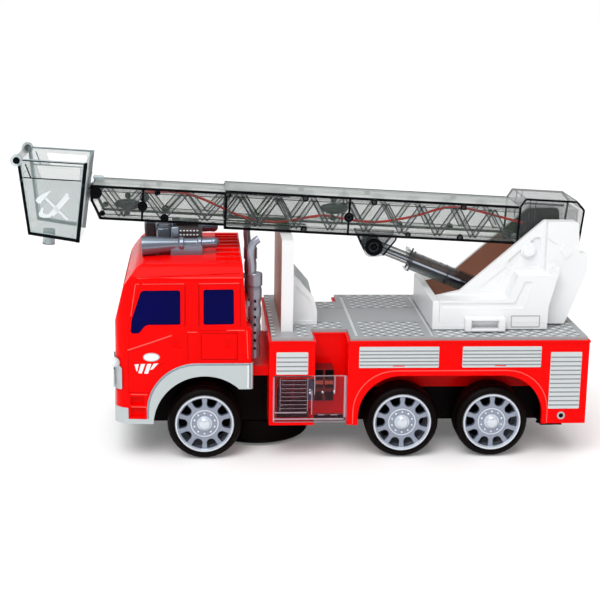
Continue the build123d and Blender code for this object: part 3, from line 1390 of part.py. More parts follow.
def basket_tub():
    """Tapered tub, open at the top, with hinge ears behind it."""
    top = BASKET_TOP_Z
    low = top - BASKET_DEPTH
    outer = basket_taper(0, low)
    inner = basket_taper(BASKET_WALL, low + BASKET_WALL)
    tub = outer - inner
    line_z = top - 3.0 - BASKET_WINDOW_H - 2 * BASKET_LINE_H
    line = basket_taper(-BASKET_LINE_OUT, low) - basket_taper(BASKET_WALL / 2, low)
    tub += line & box(BASKET_REAR_X - 5, BASKET_FRONT_X + 5, -BASKET_HALF_W - 5, BASKET_HALF_W + 5,
                      line_z, line_z + BASKET_LINE_H)
    window = outline((
        (BASKET_FRONT_X - 11, top - 3.0, 1.0),
        (BASKET_REAR_X + 4, top - 3.0, 1.0),
        (BASKET_REAR_X + 4.5, top - 3.0 - BASKET_WINDOW_H, 1.0),
        (BASKET_FRONT_X - 14, top - 3.0 - BASKET_WINDOW_H, 1.0),
    ))
    tub -= side_prism(window, -BASKET_HALF_W - 1, BASKET_HALF_W + 1)
    boss_x = BASKET_FRONT_X
    boss_z = top - 1
    boss = cylinder_y(boss_x, boss_z, BASKET_BOSS_R, BASKET_HALF_W - 2.4, BASKET_HALF_W + 0.6)
    boss -= cylinder_y(boss_x, boss_z, BASKET_ROD_R + SEAT_PLAY, 0, BASKET_HALF_W + 2)
    tub -= both_sides(cylinder_y(boss_x, boss_z, BASKET_ROD_R + SEAT_PLAY, 0, BASKET_HALF_W + 2))
    tub += both_sides(boss)
    hinge_x, hinge_z = basket_point()
    ear_low = HINGE_BOSS_HALF_W + 0.3
    ear = cylinder_y(hinge_x, hinge_z, HINGE_BOSS_R - 0.6, ear_low, ear_low + HINGE_EAR_T)
    ear += box(hinge_x, BASKET_REAR_X + 3, ear_low, ear_low + HINGE_EAR_T, hinge_z - 3, hinge_z + 3)
    ear -= outer
    tub += both_sides(ear)
    tub -= cylinder_y(hinge_x, hinge_z, HINGE_PIN_R + AXLE_PLAY, -20, 20)
    return tub


def basket_taper(inset, low):
    """The tub's form, drawn in by an inset, from its floor to just over its top."""
    top = BASKET_TOP_Z
    over = 0 if inset == 0 else 1
    upper = Pos((BASKET_FRONT_X + BASKET_REAR_X) / 2, 0, top) * Rectangle(
        BASKET_FRONT_X - BASKET_REAR_X - 2 * inset, 2 * (BASKET_HALF_W - inset))
    lower = Pos((BASKET_FLOOR_FRONT + BASKET_FLOOR_REAR) / 2, 0, low) * Rectangle(
        BASKET_FLOOR_FRONT - BASKET_FLOOR_REAR - 2 * inset, 2 * (BASKET_FLOOR_HALF_W - inset))
    solid = loft([lower, upper])
    if over:
        solid += extrude(upper, 1, dir=(0, 0, 1))
    return solid


def lean_basket(shape):
    """Turn the upright basket about its hinge to the lean it hangs at."""
    hinge_x, hinge_z = basket_point()
    return Pos(hinge_x, 0, hinge_z) * Rot(0, -BASKET_LEAN, 0) * Pos(-hinge_x, 0, -hinge_z) * shape


def basket_rod():
    reach = BASKET_HALF_W + 0.2
    return cylinder_y(BASKET_FRONT_X, BASKET_TOP_Z - 1, BASKET_ROD_R, -reach, reach)


def basket_nozzle():
    low = BASKET_TOP_Z - BASKET_DEPTH
    x = (BASKET_FLOOR_FRONT * 0.75 + BASKET_FLOOR_REAR * 0.25)
    return Pos(x, 0, low - NOZZLE_H / 2) * Cylinder(NOZZLE_R, NOZZLE_H)


def fly_hinge():
    """Boss at the ladder's tip that the basket hangs on, with its pin."""
    hinge_x, hinge_z = basket_point()
    boss = cylinder_y(hinge_x, hinge_z, HINGE_BOSS_R, -HINGE_BOSS_HALF_W, HINGE_BOSS_HALF_W)
    reach = fly_half_w()
    boss += cylinder_y(hinge_x, hinge_z, HINGE_PIN_R, -reach, reach)
    return boss


# ================================================================ modules and wire
def plug(along, up, half_w):
    """Small lamp module held in the ladder by a peg on each side."""
    body = Rot(0, 90, 0) * Cylinder(PLUG_R, PLUG_L)
    body += cylinder_y(0, 0, PLUG_PEG_R, -half_w, half_w)
    return Pos(along, 0, up) * body


def ladder_wire():
    """Lead through the ladder, from the tip's lamp to the turret, in slack waves."""
    points = [ladder_point(along, up) for along, up in WIRE_ROUTE]
    spots = [(x, 0, z) for x, z in points]
    radii = []
    for before, here, after in zip(spots, spots[1:], spots[2:]):
        run_in = Vector(*here) - Vector(*before)
        run_out = Vector(*after) - Vector(*here)
        turn = math.radians(run_in.get_angle(run_out))
        radii.append(0.45 * min(run_in.length, run_out.length) / math.tan(turn / 2))
    path = FilletPolyline(*spots, radius=radii)
    start = Plane(origin=spots[0], z_dir=path % 0)
    return sweep(start * Circle(WIRE_R), path)


WIRE_ROUTE = (
    # along the ladder, above the hinge
    (222.0, 19.5),
    (213.0, 19.8),
    (196.0, 18.6),
    (180.0, 12.8),
    (166.0, 7.6),
    (150.0, 5.6),
    (134.0, 8.2),
    (118.0, 10.2),
    (102.0, 8.6),
    (86.0, 9.4),
    (68.0, 12.6),
    (50.0, 17.0),
    (34.0, 16.4),
    (18.0, 12.0),
    (6.0, 9.0),
)

# ================================================================ the toy
basket_x, basket_z = basket_point()
lean = math.radians(BASKET_LEAN)
boss_dx = BASKET_FRONT_X - basket_x
boss_dz = BASKET_TOP_Z - 1 - basket_z
REACH_X = basket_x + boss_dx * math.cos(lean) - boss_dz * math.sin(lean) + BASKET_BOSS_R
MIDDLE_X = (REACH_X + CHEEK_BACK_X) / 2

fly_side = fly_left()
boom_side = boom_left()
turret_left = turret_side()
parts = {
    "chassis_frame": chassis(),
    "drive_turntable": drive_turntable(),
    "drive_wheels": drive_wheels(),
    "body_shell": body_shell(),
    "deck_plate": deck_plate(),
    "side_shutters": both_sides(Compound([shutter(row) for row in SHUTTERS])),
    "rear_shutter": rear_shutter(),
    "tail_lamps": tail_lamps(),
    "clear_covers": both_sides(clear_cover()),
    "sound_modules": both_sides(Compound([module(row) for row in MODULES])),
    "cab_shell": cab_shell(),
    "cab_glazing": cab_glazing(),
    "bumper_trim": bumper_trim(),
    "headlamp_lenses": headlamps(),
    "headlamp_bowls": headlamp_bowls(),
    "cab_grille": grille(),
    "roof_horns": roof_horns(),
    "beacon_bar": beacon_bar(),
    "exhaust_stacks": both_sides(exhaust_stack()),
    "ladder_rest": ladder_rest(),
    "turret_base": turret_base(),
    "turret_left": turret_left,
    "turret_right": mirror(turret_left, about=Plane.XZ),
    "elevation_pin": elevation_pin(),
    "barrel_pin": barrel_pin(),
    "lift_barrel": lift_barrel(),
    "lift_rod": lift_rod(),
    "boom_left": in_ladder(boom_side),
    "boom_right": in_ladder(mirror(boom_side, about=Plane.XZ)),
    "boom_hood": in_ladder(boom_hood()),
    "boom_lug": in_ladder(rod_lug()),
    "boom_module": in_ladder(plug(BOOM_PLUG_X, BOOM_PLUG_UP, BOOM_HALF_W - RIB_OUT - BOOM_WALL)),
    "ladder_wire": ladder_wire(),
    "fly_left": in_ladder(fly_side),
    "fly_right": in_ladder(mirror(fly_side, about=Plane.XZ)),
    "fly_module": in_ladder(plug(FLY_PLUG_X, FLY_PLUG_UP, fly_half_w() - RIB_OUT - BOOM_WALL)),
    "fly_hinge": fly_hinge(),
    "basket_tub": lean_basket(basket_tub()),
    "basket_rod": lean_basket(basket_rod()),
    "basket_nozzle": lean_basket(basket_nozzle()),
}
for name, x in AXLES:
    parts[f"{name}_axle"] = axle(x)
    parts[f"{name}_tyres"] = both_sides(on_left(tyre(), x))
    parts[f"{name}_rims"] = both_sides(on_left(rim(), x))

for node, shape in parts.items():
    export_step(Pos(-MIDDLE_X, 0, 0) * shape, f"parts/{node}.step")
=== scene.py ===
import json
from math import atan2, copysign, cos, hypot, pi, radians, sin, tan

import bmesh
import bpy
from mathutils import Matrix, Vector

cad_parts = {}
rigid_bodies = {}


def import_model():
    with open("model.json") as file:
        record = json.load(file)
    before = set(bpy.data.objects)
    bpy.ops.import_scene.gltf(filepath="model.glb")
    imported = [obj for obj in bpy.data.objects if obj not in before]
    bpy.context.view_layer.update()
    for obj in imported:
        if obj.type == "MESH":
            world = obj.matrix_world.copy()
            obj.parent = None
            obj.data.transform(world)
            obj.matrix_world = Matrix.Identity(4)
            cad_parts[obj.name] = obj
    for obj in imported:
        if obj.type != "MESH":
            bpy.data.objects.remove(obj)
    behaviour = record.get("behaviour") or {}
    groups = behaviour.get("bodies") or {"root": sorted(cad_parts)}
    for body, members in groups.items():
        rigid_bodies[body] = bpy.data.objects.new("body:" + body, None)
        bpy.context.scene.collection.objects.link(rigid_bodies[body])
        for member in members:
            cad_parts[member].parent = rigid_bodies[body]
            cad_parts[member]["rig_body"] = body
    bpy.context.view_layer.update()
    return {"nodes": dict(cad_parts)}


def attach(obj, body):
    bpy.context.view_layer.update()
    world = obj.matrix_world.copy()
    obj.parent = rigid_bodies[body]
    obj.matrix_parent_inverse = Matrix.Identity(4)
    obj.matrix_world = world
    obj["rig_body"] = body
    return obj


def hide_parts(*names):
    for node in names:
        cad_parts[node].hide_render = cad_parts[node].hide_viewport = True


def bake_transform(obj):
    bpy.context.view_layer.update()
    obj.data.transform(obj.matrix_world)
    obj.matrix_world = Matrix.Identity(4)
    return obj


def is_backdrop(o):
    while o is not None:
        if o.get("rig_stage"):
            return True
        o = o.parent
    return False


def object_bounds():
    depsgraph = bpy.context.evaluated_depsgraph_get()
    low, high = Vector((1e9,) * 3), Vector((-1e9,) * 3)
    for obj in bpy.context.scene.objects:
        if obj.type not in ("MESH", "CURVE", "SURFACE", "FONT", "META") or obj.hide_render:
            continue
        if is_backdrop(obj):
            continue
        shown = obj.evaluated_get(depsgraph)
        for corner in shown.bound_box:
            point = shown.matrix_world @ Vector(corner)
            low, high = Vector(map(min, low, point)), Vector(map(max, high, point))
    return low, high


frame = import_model()

# Toy ladder fire engine. Lengths here are millimetres in the part's own drawing frame: X forward from the
# front axle, Y to the toy's left, Z up from the floor. TOY brings them to metres in the shared frame.
MIDDLE_X = -56.867808
TOY = Matrix.Scale(0.001, 4) @ Matrix.Translation((-MIDDLE_X, 0, 0))
TO_DRAWING = TOY.inverted()

# The ladder's own frame: along it and up from it, with its origin in the elevation hinge
PIVOT = Vector((-187.0, 0, 115.5))
LADDER_TILT = radians(2.9)
IN_LADDER = Matrix.Translation(PIVOT) @ Matrix.Rotation(-LADDER_TILT, 4, "Y")
FROM_LADDER = IN_LADDER.inverted()
BASKET_HINGE = IN_LADDER @ Vector((251.0, 0, 17.5))
BASKET_LEAN = radians(3.3)
IN_BASKET = (Matrix.Translation(BASKET_HINGE) @ Matrix.Rotation(-BASKET_LEAN, 4, "Y")
             @ Matrix.Translation(-BASKET_HINGE))

BASKET_TILT = atan2(3.5, 43.0)     # how far the tub's sides lean outwards

SIDE_Y = 52.5               # outer side of the body
CAB_SIDE_Y = 52.0
DECK_Z = 71.6
BOOM_SIDE = 17.0            # half width of the boom, and of the fly inside it
BOOM_LOW, BOOM_HIGH, BOOM_FRONT = 2.2, 24.2, 176.4
FLY_SIDE = 14.7
FLY_LOW, FLY_HIGH, FLY_FRONT = 3.6, 22.8, 252.4
TYRE_R, TYRE_W, RIM_R, TYRE_FACE_Y = 21.0, 18.0, 16.8, 51.0
AXLES = (("front", 0.0), ("middle", -112.4), ("rear", -164.1))

# ---- materials


def feed(tree, node, **inputs):
    """Give a node's inputs their values or the outputs that feed them. An underscore stands for a space."""
    for name, value in inputs.items():
        socket = node.inputs[name.replace("_", " ")]
        if isinstance(value, bpy.types.NodeSocket):
            tree.links.new(value, socket)
        else:
            socket.default_value = value
    return node


def add_node(tree, kind, **inputs):
    """A new shader node with its inputs fed."""
    return feed(tree, tree.nodes.new("ShaderNode" + kind), **inputs)


def new_material(name):
    material = bpy.data.materials.new(name)
    material.use_nodes = True
    return material, material.node_tree, material.node_tree.nodes["Principled BSDF"]


def moulded(name, colour, roughness=0.25, metallic=0.0, grain=0.0, grain_size=1.0, drift=0.04, **sockets):
    """Moulded plastic: a faint drift of colour and gloss, and a fine grain in its skin."""
    material, tree, shader = new_material(name)
    place = add_node(tree, "TexCoord").outputs["Object"]
    cloud = add_node(tree, "TexNoise", Scale=38.0, Detail=3.0, Vector=place).outputs["Fac"]
    tint = add_node(tree, "MapRange", To_Min=1.0 - drift, To_Max=1.0 + drift, Value=cloud)
    paint = add_node(tree, "Mix")
    paint.data_type = "RGBA"
    paint.blend_type = "MULTIPLY"
    feed(tree, paint, Factor=1.0, A=(*colour, 1.0), B=tint.outputs["Result"])
    gloss = add_node(tree, "MapRange", To_Min=max(roughness - 0.05, 0.02), To_Max=roughness + 0.05, Value=cloud)
    feed(tree, shader, Base_Color=paint.outputs["Result"], Roughness=gloss.outputs["Result"], Metallic=metallic)
    if grain:
        skin = add_node(tree, "TexNoise", Scale=900.0 / grain_size, Detail=2.0, Vector=place)
        bump = add_node(tree, "Bump", Strength=grain, Distance=0.0002, Height=skin.outputs["Fac"])
        feed(tree, shader, Normal=bump.outputs["Normal"])
    feed(tree, shader, **sockets)
    return material


def see_through(name, colour, alpha, roughness=0.08, drift=0.05):
    """Clear moulded plastic whose tint hides part of what lies behind it."""
    return moulded(name, colour, roughness, drift=drift, grain=0.05, grain_size=4.0, IOR=1.5, Alpha=alpha)


RED = moulded("red_plastic", (0.88, 0.0012, 0.0008), 0.24, drift=0.02, Specular_IOR_Level=0.06)
RED_SEAM = moulded("red_plastic_seam", (0.52, 0.0008, 0.0006), 0.3, Specular_IOR_Level=0.05)
# Painted highlight: a paler, glossier red for light glinting on rounded edges, on faces standing out from the
# cab's side, and on creases, handles and the arch's lip
RED_HIGHLIGHT = moulded("red_painted_highlight", (1.0, 0.085, 0.07), 0.2, drift=0.03, Specular_IOR_Level=0.4)
WHITE = moulded("white_plastic", (0.84, 0.85, 0.86), 0.32, drift=0.015)
WHITE_SEAM = moulded("white_plastic_seam", (0.42, 0.40, 0.39), 0.4)
# Painted shade: white plastic in shade, painted brown with a reddish cast that stands for the red body's
# reflection
PAINTED_SHADE_BROWN = moulded("painted_shade_brown", (0.50, 0.22, 0.14), 0.45, drift=0.08, grain=0.1)
GREY = moulded("grey_plastic", (0.33, 0.345, 0.355), 0.34, drift=0.06, grain=0.1)
SEAM = moulded("deck_seam", (0.62, 0.64, 0.65), 0.30, drift=0.03)
# Painted light: lozenges turned one way are painted lit and those turned the other way painted in shade, as if
# light came from one side
TREAD_LIT = moulded("tread_painted_highlight", (0.74, 0.80, 0.81), 0.3, drift=0.05)
TREAD_SHADED = moulded("tread_painted_shade", (0.13, 0.13, 0.14), 0.3, drift=0.05)
SLAT_GREY = moulded("shutter_grey", (0.61, 0.65, 0.66), 0.32, 0.1, drift=0.03)
# Painted shade in the gaps under the shutters' slats
SLAT_GAP_SHADE = moulded("shutter_gap_painted_shade", (0.25, 0.265, 0.28), 0.4)
SILVER = moulded("silver_plastic", (0.51, 0.565, 0.575), 0.24, 0.25, drift=0.02)
# Painted reflection: a darker steel for the dark surroundings that the trim's rounded edges and bands mirror
TRIM_DARK_REFLECTION = moulded("silver_trim_painted_reflection", (0.26, 0.32, 0.37), 0.18, 0.5, drift=0.02)
RIM_SILVER = moulded("rim_plastic", (0.29, 0.325, 0.40), 0.26, 0.45, drift=0.10)
# Painted shade and painted highlight: darker and paler copies of the rim's silver
RIM_PAINTED_SHADE = moulded("rim_painted_shade", (0.10, 0.12, 0.17), 0.25, 0.4, drift=0.05)
RIM_HIGHLIGHT = moulded("rim_painted_highlight", (0.70, 0.75, 0.82), 0.18, 0.4, drift=0.02)
HORN_GREY = moulded("horn_plastic", (0.20, 0.235, 0.29), 0.20, 0.6, drift=0.03)
STACK_GREY = moulded("stack_plastic", (0.28, 0.29, 0.34), 0.26, 0.5, drift=0.03)
PIPE_GREY = moulded("pipe_plastic", (0.33, 0.36, 0.42), 0.18, 0.5, drift=0.03)
BLACK = moulded("black_plastic", (0.0022, 0.0006, 0.0006), 0.45, grain=0.2, Specular_IOR_Level=0.05)
TYRE = moulded("tyre_vinyl", (0.0022, 0.0006, 0.0006), 0.50, grain=0.35, drift=0.12, Specular_IOR_Level=0.08)
DARK = moulded("dark_grey_plastic", (0.045, 0.030, 0.032), 0.4, grain=0.2, Specular_IOR_Level=0.25)
MODULE_ORANGE = moulded("orange_mark", (0.50, 0.07, 0.03), 0.35)
MODULE_RED = moulded("module_red", (0.16, 0.012, 0.014), 0.4, Specular_IOR_Level=0.1)
MODULE_NAVY = moulded("navy_plastic", (0.035, 0.04, 0.09), 0.3)
BLUE = moulded("blue_glazing", (0.0002, 0.0002, 0.062), 0.12, drift=0.3, Specular_IOR_Level=0.05)
CHROME = moulded("bright_plating", (0.70, 0.72, 0.74), 0.10, 1.0, drift=0.02)
STEEL = moulded("steel", (0.50, 0.50, 0.50), 0.28, 1.0, drift=0.03)
RED_LENS = see_through("red_lens", (0.50, 0.004, 0.004), 0.9, 0.10)
CLEAR = see_through("clear_plastic", (0.08, 0.02, 0.03), 0.16, 0.05)
CLEAR_EDGE = see_through("clear_plastic_edge", (0.62, 0.48, 0.56), 0.50, 0.10)
CLEAR_FINE = see_through("clear_fine_line", (0.55, 0.42, 0.50), 0.32, 0.10)
LENS = see_through("lens_plastic", (0.84, 0.91, 0.94), 0.55, 0.06)
LENS_EDGE = see_through("lens_edge", (0.09, 0.11, 0.14), 0.85, 0.08)
SMOKE = see_through("smoke_plastic", (0.075, 0.115, 0.085), 0.19)
SMOKE_TAIL = see_through("smoke_tail", (0.12, 0.15, 0.13), 0.03)
TAIL_LINE = see_through("tail_line", (0.16, 0.20, 0.19), 0.34)
# Painted light: a paler tint on the smoked ladder's upward faces, as if lit from above
SMOKE_ROOF_LIT = see_through("smoke_roof_painted_light", (0.60, 0.66, 0.64), 0.60, 0.15)
SMOKE_RIB = see_through("smoke_rib", (0.060, 0.080, 0.074), 0.48)
SMOKE_LINE = see_through("smoke_line", (0.022, 0.027, 0.030), 0.82)
SMOKE_EDGE = moulded("smoke_edge", (0.0012, 0.0016, 0.0030), 0.3, Specular_IOR_Level=0.06)
SMOKE_DEEP = see_through("smoke_deep", (0.050, 0.062, 0.070), 0.34)
SMOKE_NAVY = see_through("smoke_navy", (0.006, 0.009, 0.022), 0.85)
# Painted highlight along the lift cylinder's barrel and rod
SMOKE_HIGHLIGHT = moulded("smoke_painted_highlight", (0.46, 0.50, 0.58), 0.2, drift=0.05)
HOOD = see_through("hood_smoke", (0.075, 0.085, 0.085), 0.26)
# Painted light: a paler tint on the hood's upward faces, as if lit from above
HOOD_TOP_LIT = see_through("hood_top_painted_light", (0.36, 0.37, 0.38), 0.62, 0.12)
TUB = see_through("basket_smoke", (0.19, 0.275, 0.265), 0.20)
TUB_RIM = see_through("basket_rim", (0.50, 0.62, 0.64), 0.55)
FAINT = see_through("faint_line", (0.34, 0.40, 0.39), 0.75)
FAINT_DARK = see_through("faint_dark_line", (0.07, 0.085, 0.09), 0.9)
WARM_SHADE = see_through("warm_shade", (0.085, 0.060, 0.052), 0.55)
PLUG = moulded("plug_plastic", (0.050, 0.052, 0.064), 0.3)
EMBLEM = see_through("basket_emblem", (0.84, 0.90, 0.92), 0.88, 0.2)
WIRE = moulded("wire_cover", (0.88, 0.001, 0.006), 0.4, drift=0.05, Specular_IOR_Level=0.2)

# ---- making and taking over pieces


def link(obj):
    bpy.context.scene.collection.objects.link(obj)
    return obj


def settle(obj, node, replaced=False):
    """Let a piece ride on a node's body, and take the node's place if asked."""
    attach(obj, frame["nodes"][node]["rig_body"])
    if replaced:
        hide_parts(node)
    return obj


def coat(mesh, *materials):
    """Give a mesh its materials in place of those that it has, before its faces point at them."""
    mesh.materials.clear()
    for material in materials:
        mesh.materials.append(material)


def shade_smooth(mesh, angle):
    """Shade a mesh smooth, but not over edges sharper than an angle in degrees."""
    mesh.polygons.foreach_set("use_smooth", [True] * len(mesh.polygons))
    mesh.set_sharp_from_angle(angle=radians(angle))


def soften(obj, width, segments=2, angle=30.0, edge_material=-1):
    """Round the sharp edges by a width in mm, and shade the rest smooth."""
    shade_smooth(obj.data, angle)
    if width:
        bevel = obj.modifiers.new("edges", "BEVEL")
        bevel.width = width / 1000
        bevel.segments = segments
        bevel.limit_method = "ANGLE"
        bevel.angle_limit = radians(angle)
        bevel.harden_normals = True
        bevel.use_clamp_overlap = True
        bevel.material = edge_material
    weigh = obj.modifiers.new("normals", "WEIGHTED_NORMAL")
    weigh.keep_sharp = True
    return obj


def taken_over(node, materials, width=0.3, pick=None, plane=None, ends=False, edge=-1, angle=30.0, segments=2):
    """A copy of a solid with its edges rounded.

    pick gives a face's material, by its number or by yes for 1, from its middle and normal. plane
    (point, normal) parts the faces first, and is where the solid ends if asked. edge is the material of the
    rounded edges. All are in the drawing frame.
    """
    mesh = frame["nodes"][node].data.copy()
    work = bmesh.new()
    work.from_mesh(mesh)
    bmesh.ops.remove_doubles(work, verts=work.verts, dist=2e-6)
    bmesh.ops.dissolve_degenerate(work, edges=work.edges, dist=1e-6)
    bmesh.ops.dissolve_limit(work, angle_limit=radians(0.6), verts=work.verts, edges=work.edges)
    if plane:
        point, normal = plane
        everything = list(work.verts) + list(work.edges) + list(work.faces)
        cut = bmesh.ops.bisect_plane(work, geom=everything, plane_co=TOY @ Vector(point), dist=1e-7,
                                     plane_no=Vector(normal), clear_outer=ends)["geom_cut"]
        if ends:
            bmesh.ops.edgenet_fill(work, edges=[part for part in cut if isinstance(part, bmesh.types.BMEdge)])
    work.normal_update()
    for face in work.faces:
        face.material_index = int(pick(TO_DRAWING @ face.calc_center_median(), face.normal)) if pick else 0
    coat(mesh, *materials)
    work.to_mesh(mesh)
    work.free()
    obj = settle(link(bpy.data.objects.new(node + "_shape", mesh)), node, replaced=True)
    return soften(obj, width, segments, angle, edge)


def dress(node, material):
    """Give a solid that shows as it is its material."""
    mesh = frame["nodes"][node].data
    coat(mesh, material)
    shade_smooth(mesh, 30)


def piece(name, work, material, node, width=0.0, place=None, slot=None, replaced=False, **softening):
    """An object from a bmesh drawn in mm, in the drawing frame or the frame that place gives."""
    bmesh.ops.recalc_face_normals(work, faces=work.faces)
    mesh = bpy.data.meshes.new(name)
    coat(mesh, *(material if isinstance(material, tuple) else (material,)))
    work.to_mesh(mesh)
    work.free()
    mesh.transform(TOY @ place if place else TOY)
    obj = settle(link(bpy.data.objects.new(name, mesh)), node, replaced)
    return soften(obj, width, **softening)


def add_block(work, low, high):
    """A block between two corners."""
    low, high = Vector(low), Vector(high)
    bmesh.ops.create_cube(work, size=1.0, matrix=Matrix.Translation((low + high) / 2)
                          @ Matrix.Diagonal((*(high - low), 1)))


def add_blocks(work, low, high):
    """A block between two corners on the left side, and its like on the right side."""
    add_block(work, low, high)
    add_block(work, (low[0], -high[1], low[2]), (high[0], -low[1], high[2]))


def add_plate(work, points, place, low, high):
    """A flat plate on a placed plane, from its outline. Gives the face below."""
    top = [work.verts.new(place @ Vector((x, y, high))) for x, y in points]
    foot = [work.verts.new(place @ Vector((x, y, low))) for x, y in points]
    work.faces.new(top)
    below = work.faces.new(reversed(foot))
    for index in range(len(points)):
        ahead = (index + 1) % len(points)
        work.faces.new((top[index], foot[index], foot[ahead], top[ahead]))
    return below


# A plate's x, y and height become x, z and y of the toy
SIDE_VIEW = Matrix(((1, 0, 0, 0), (0, 0, 1, 0), (0, 1, 0, 0), (0, 0, 0, 1)))


def on_circle(radius, turn):
    """A point of a circle about the origin, at an angle in radians."""
    return Vector((radius * cos(turn), radius * sin(turn)))


def add_lathe(work, profile, place, segments=24):
    """A profile of (radius, height) turned about Z, then placed. Its ends close where the radius is 0."""
    rings = []
    for radius, height in profile:
        if radius == 0:
            rings.append([work.verts.new(place @ Vector((0, 0, height)))])
            continue
        rings.append([work.verts.new(place @ Vector((*on_circle(radius, 2 * pi * turn / segments), height)))
                      for turn in range(segments)])
    for one, two in zip(rings, rings[1:]):
        for turn in range(segments):
            ahead = (turn + 1) % segments
            corners = [one[turn % len(one)], one[ahead % len(one)], two[ahead % len(two)], two[turn % len(two)]]
            corners = [corner for index, corner in enumerate(corners) if corner not in corners[:index]]
            if len(corners) > 2:
                work.faces.new(corners)


def outwards(x, z, y):
    """Place on a side of the toy, with Z pointing out of it: left for a positive y, right for a negative."""
    return Matrix.Translation((x, y, z)) @ Matrix.Rotation(radians(-90 if y > 0 else 90), 4, "X")


def add_turned(work, profile, x, z, y, segments):
    """A turned shape on the left side, pointing outwards, and its like on the right side."""
    for side in (1, -1):
        add_lathe(work, profile, outwards(x, z, side * y), segments)


def bar(one, two, width):
    """The corners of a straight bar between two points of a side view."""
    one, two = Vector(one), Vector(two)
    across = (two - one).normalized().orthogonal() * width / 2
    return [one + across, two + across, two - across, one - across]


def add_line(work, one, two, width, inner, outer):
    """A straight bar of a side view on both sides, between two distances from the middle."""
    for low, high in ((inner, outer), (-outer, -inner)):
        add_plate(work, bar(one, two, width), SIDE_VIEW, low, high)


def add_path(work, points, width, inner, outer):
    """Bars of a side view along a row of points, on both sides."""
    for one, two in zip(points, points[1:]):
        add_line(work, one, two, width, inner, outer)


def paint_from(work, first, index):
    """Give the faces added since a count a material."""
    work.faces.ensure_lookup_table()
    for face in work.faces[first:]:
        face.material_index = index


def paint_backs(work, half_w, first, index):
    """Make the inner faces of lines on the clear walls paler, so that those of the far side look faint."""
    work.normal_update()
    work.faces.ensure_lookup_table()
    for face in work.faces[first:]:
        if abs(face.normal.y) > 0.7 and abs(face.calc_center_median().y) < half_w:
            face.material_index = index


def smooth_tube(name, points, radius, material):
    """A tube along a smooth line, with its control points in the drawing frame."""
    curve = bpy.data.curves.new(name, "CURVE")
    curve.dimensions = "3D"
    spline = curve.splines.new("NURBS")
    spline.points.add(len(points) - 1)
    for control, point in zip(spline.points, points):
        control.co = (*(TOY @ Vector(point)), 1.0)
    spline.order_u = 3
    spline.use_endpoint_u = True
    spline.resolution_u = 8
    curve.bevel_depth = radius / 1000
    curve.bevel_resolution = 3
    curve.use_fill_caps = True
    line = bpy.data.objects.new(name, curve)
    mesh = bpy.data.meshes.new_from_object(line)
    bpy.data.objects.remove(line)
    coat(mesh, material)
    shade_smooth(mesh, 50)
    return link(bpy.data.objects.new(name, mesh))


# ---- wheels
TYRE_PROFILE = (
    # radius, height from the outer face
    (RIM_R, -TYRE_W), (RIM_R, -0.5), (17.3, 0.0), (18.3, 0.0), (18.6, -0.35), (19.4, -0.6), (20.4, -1.5),
    (TYRE_R, -3.2), (TYRE_R, -6.4), (20.4, -6.6), (20.4, -7.6), (TYRE_R, -7.8), (TYRE_R, -15.2), (19.2, -TYRE_W),
)
for name, x in AXLES:
    tyres = bmesh.new()
    add_turned(tyres, TYRE_PROFILE + TYRE_PROFILE[:1], x, TYRE_R, TYRE_FACE_Y, 34)
    bmesh.ops.remove_doubles(tyres, verts=tyres.verts, dist=1e-4)
    piece(name + "_tyre_pair", tyres, TYRE, name + "_tyres", replaced=True)
    dress(name + "_axle", STEEL)

RIM_WINDOWS = 10
WINDOW_R, WINDOW_HALF = 14.9, radians(12.6)             # a window's outer edge
WINDOW_END, WINDOW_END_R = 12.2, 2.75                   # its round end towards the hub
RIM_PROFILE = (
    (RIM_R, -TYRE_W + 0.1), (RIM_R, -0.4), (16.4, 0.35), (15.7, 0.35), (15.2, -0.4), (15.0, -1.4),
    (15.0, -TYRE_W + 0.1),
)
HUB_PROFILE = ((0, -TYRE_W + 2), (5.2, -TYRE_W + 2), (5.2, -3.0), (0, -3.0))
CAP_PROFILE = ((4.4, -1.3), (4.2, -0.95), (3.7, -1.05), (3.4, -0.6), (3.3, 0.5), (2.7, 1.1), (1.5, 1.4), (0, 1.45))
COLLAR_PROFILE = ((8.0, -1.3), (7.9, -1.0), (7.4, -1.0), (7.3, -1.3))
BOLT_PROFILE, BOLT_RING_R = ((0.62, -0.2), (0.55, 0.35), (0.3, 0.55), (0, 0.6)), 6.0
# A black disc closes each wheel behind the windows of its rim
BACK_FACE = 1.6 - TYRE_W
BACK_PROFILE = ((0, BACK_FACE), (RIM_R, BACK_FACE), (RIM_R, BACK_FACE - 1.0), (0, BACK_FACE - 1.0))
# The spoked disc: radius, outer face, thickness, rounding of its edges
DISC_R, DISC_FACE, DISC_T, DISC_ROUND = 15.1, -1.2, 2.4, 0.35


def window_outline(middle):
    """A rim's window: wide beside the ring, with a round end towards the hub."""
    points = [on_circle(WINDOW_R, WINDOW_HALF * share) for share in (-1, -0.5, 0, 0.5, 1)]
    points += [Vector((WINDOW_END - WINDOW_END_R * sin(turn), WINDOW_END_R * cos(turn)))
               for turn in (pi * step / 8 for step in range(9))]
    return [Matrix.Rotation(middle, 2) @ point for point in points]


def rim_disc():
    """The spoked disc, drawn in mm on XY, with rounded edges."""
    curve = bpy.data.curves.new("rim_disc", "CURVE")
    curve.dimensions = "2D"
    curve.fill_mode = "BOTH"
    outlines = [[on_circle(DISC_R, 2 * pi * step / 40) for step in range(40)]]
    outlines += [window_outline(2 * pi * (window + 0.5) / RIM_WINDOWS + pi / 2)
                 for window in range(RIM_WINDOWS)]
    for points in outlines:
        spline = curve.splines.new("POLY")
        spline.points.add(len(points) - 1)
        spline.use_cyclic_u = True
        for control, point in zip(spline.points, points):
            control.co = (*point, 0, 1)
    curve.extrude = DISC_T / 2 - DISC_ROUND
    curve.bevel_depth = DISC_ROUND
    curve.bevel_resolution = 1
    disc = bpy.data.objects.new("rim_disc", curve)
    mesh = bpy.data.meshes.new_from_object(disc)
    bpy.data.objects.remove(disc)
    return mesh


RIM_DISC = rim_disc()


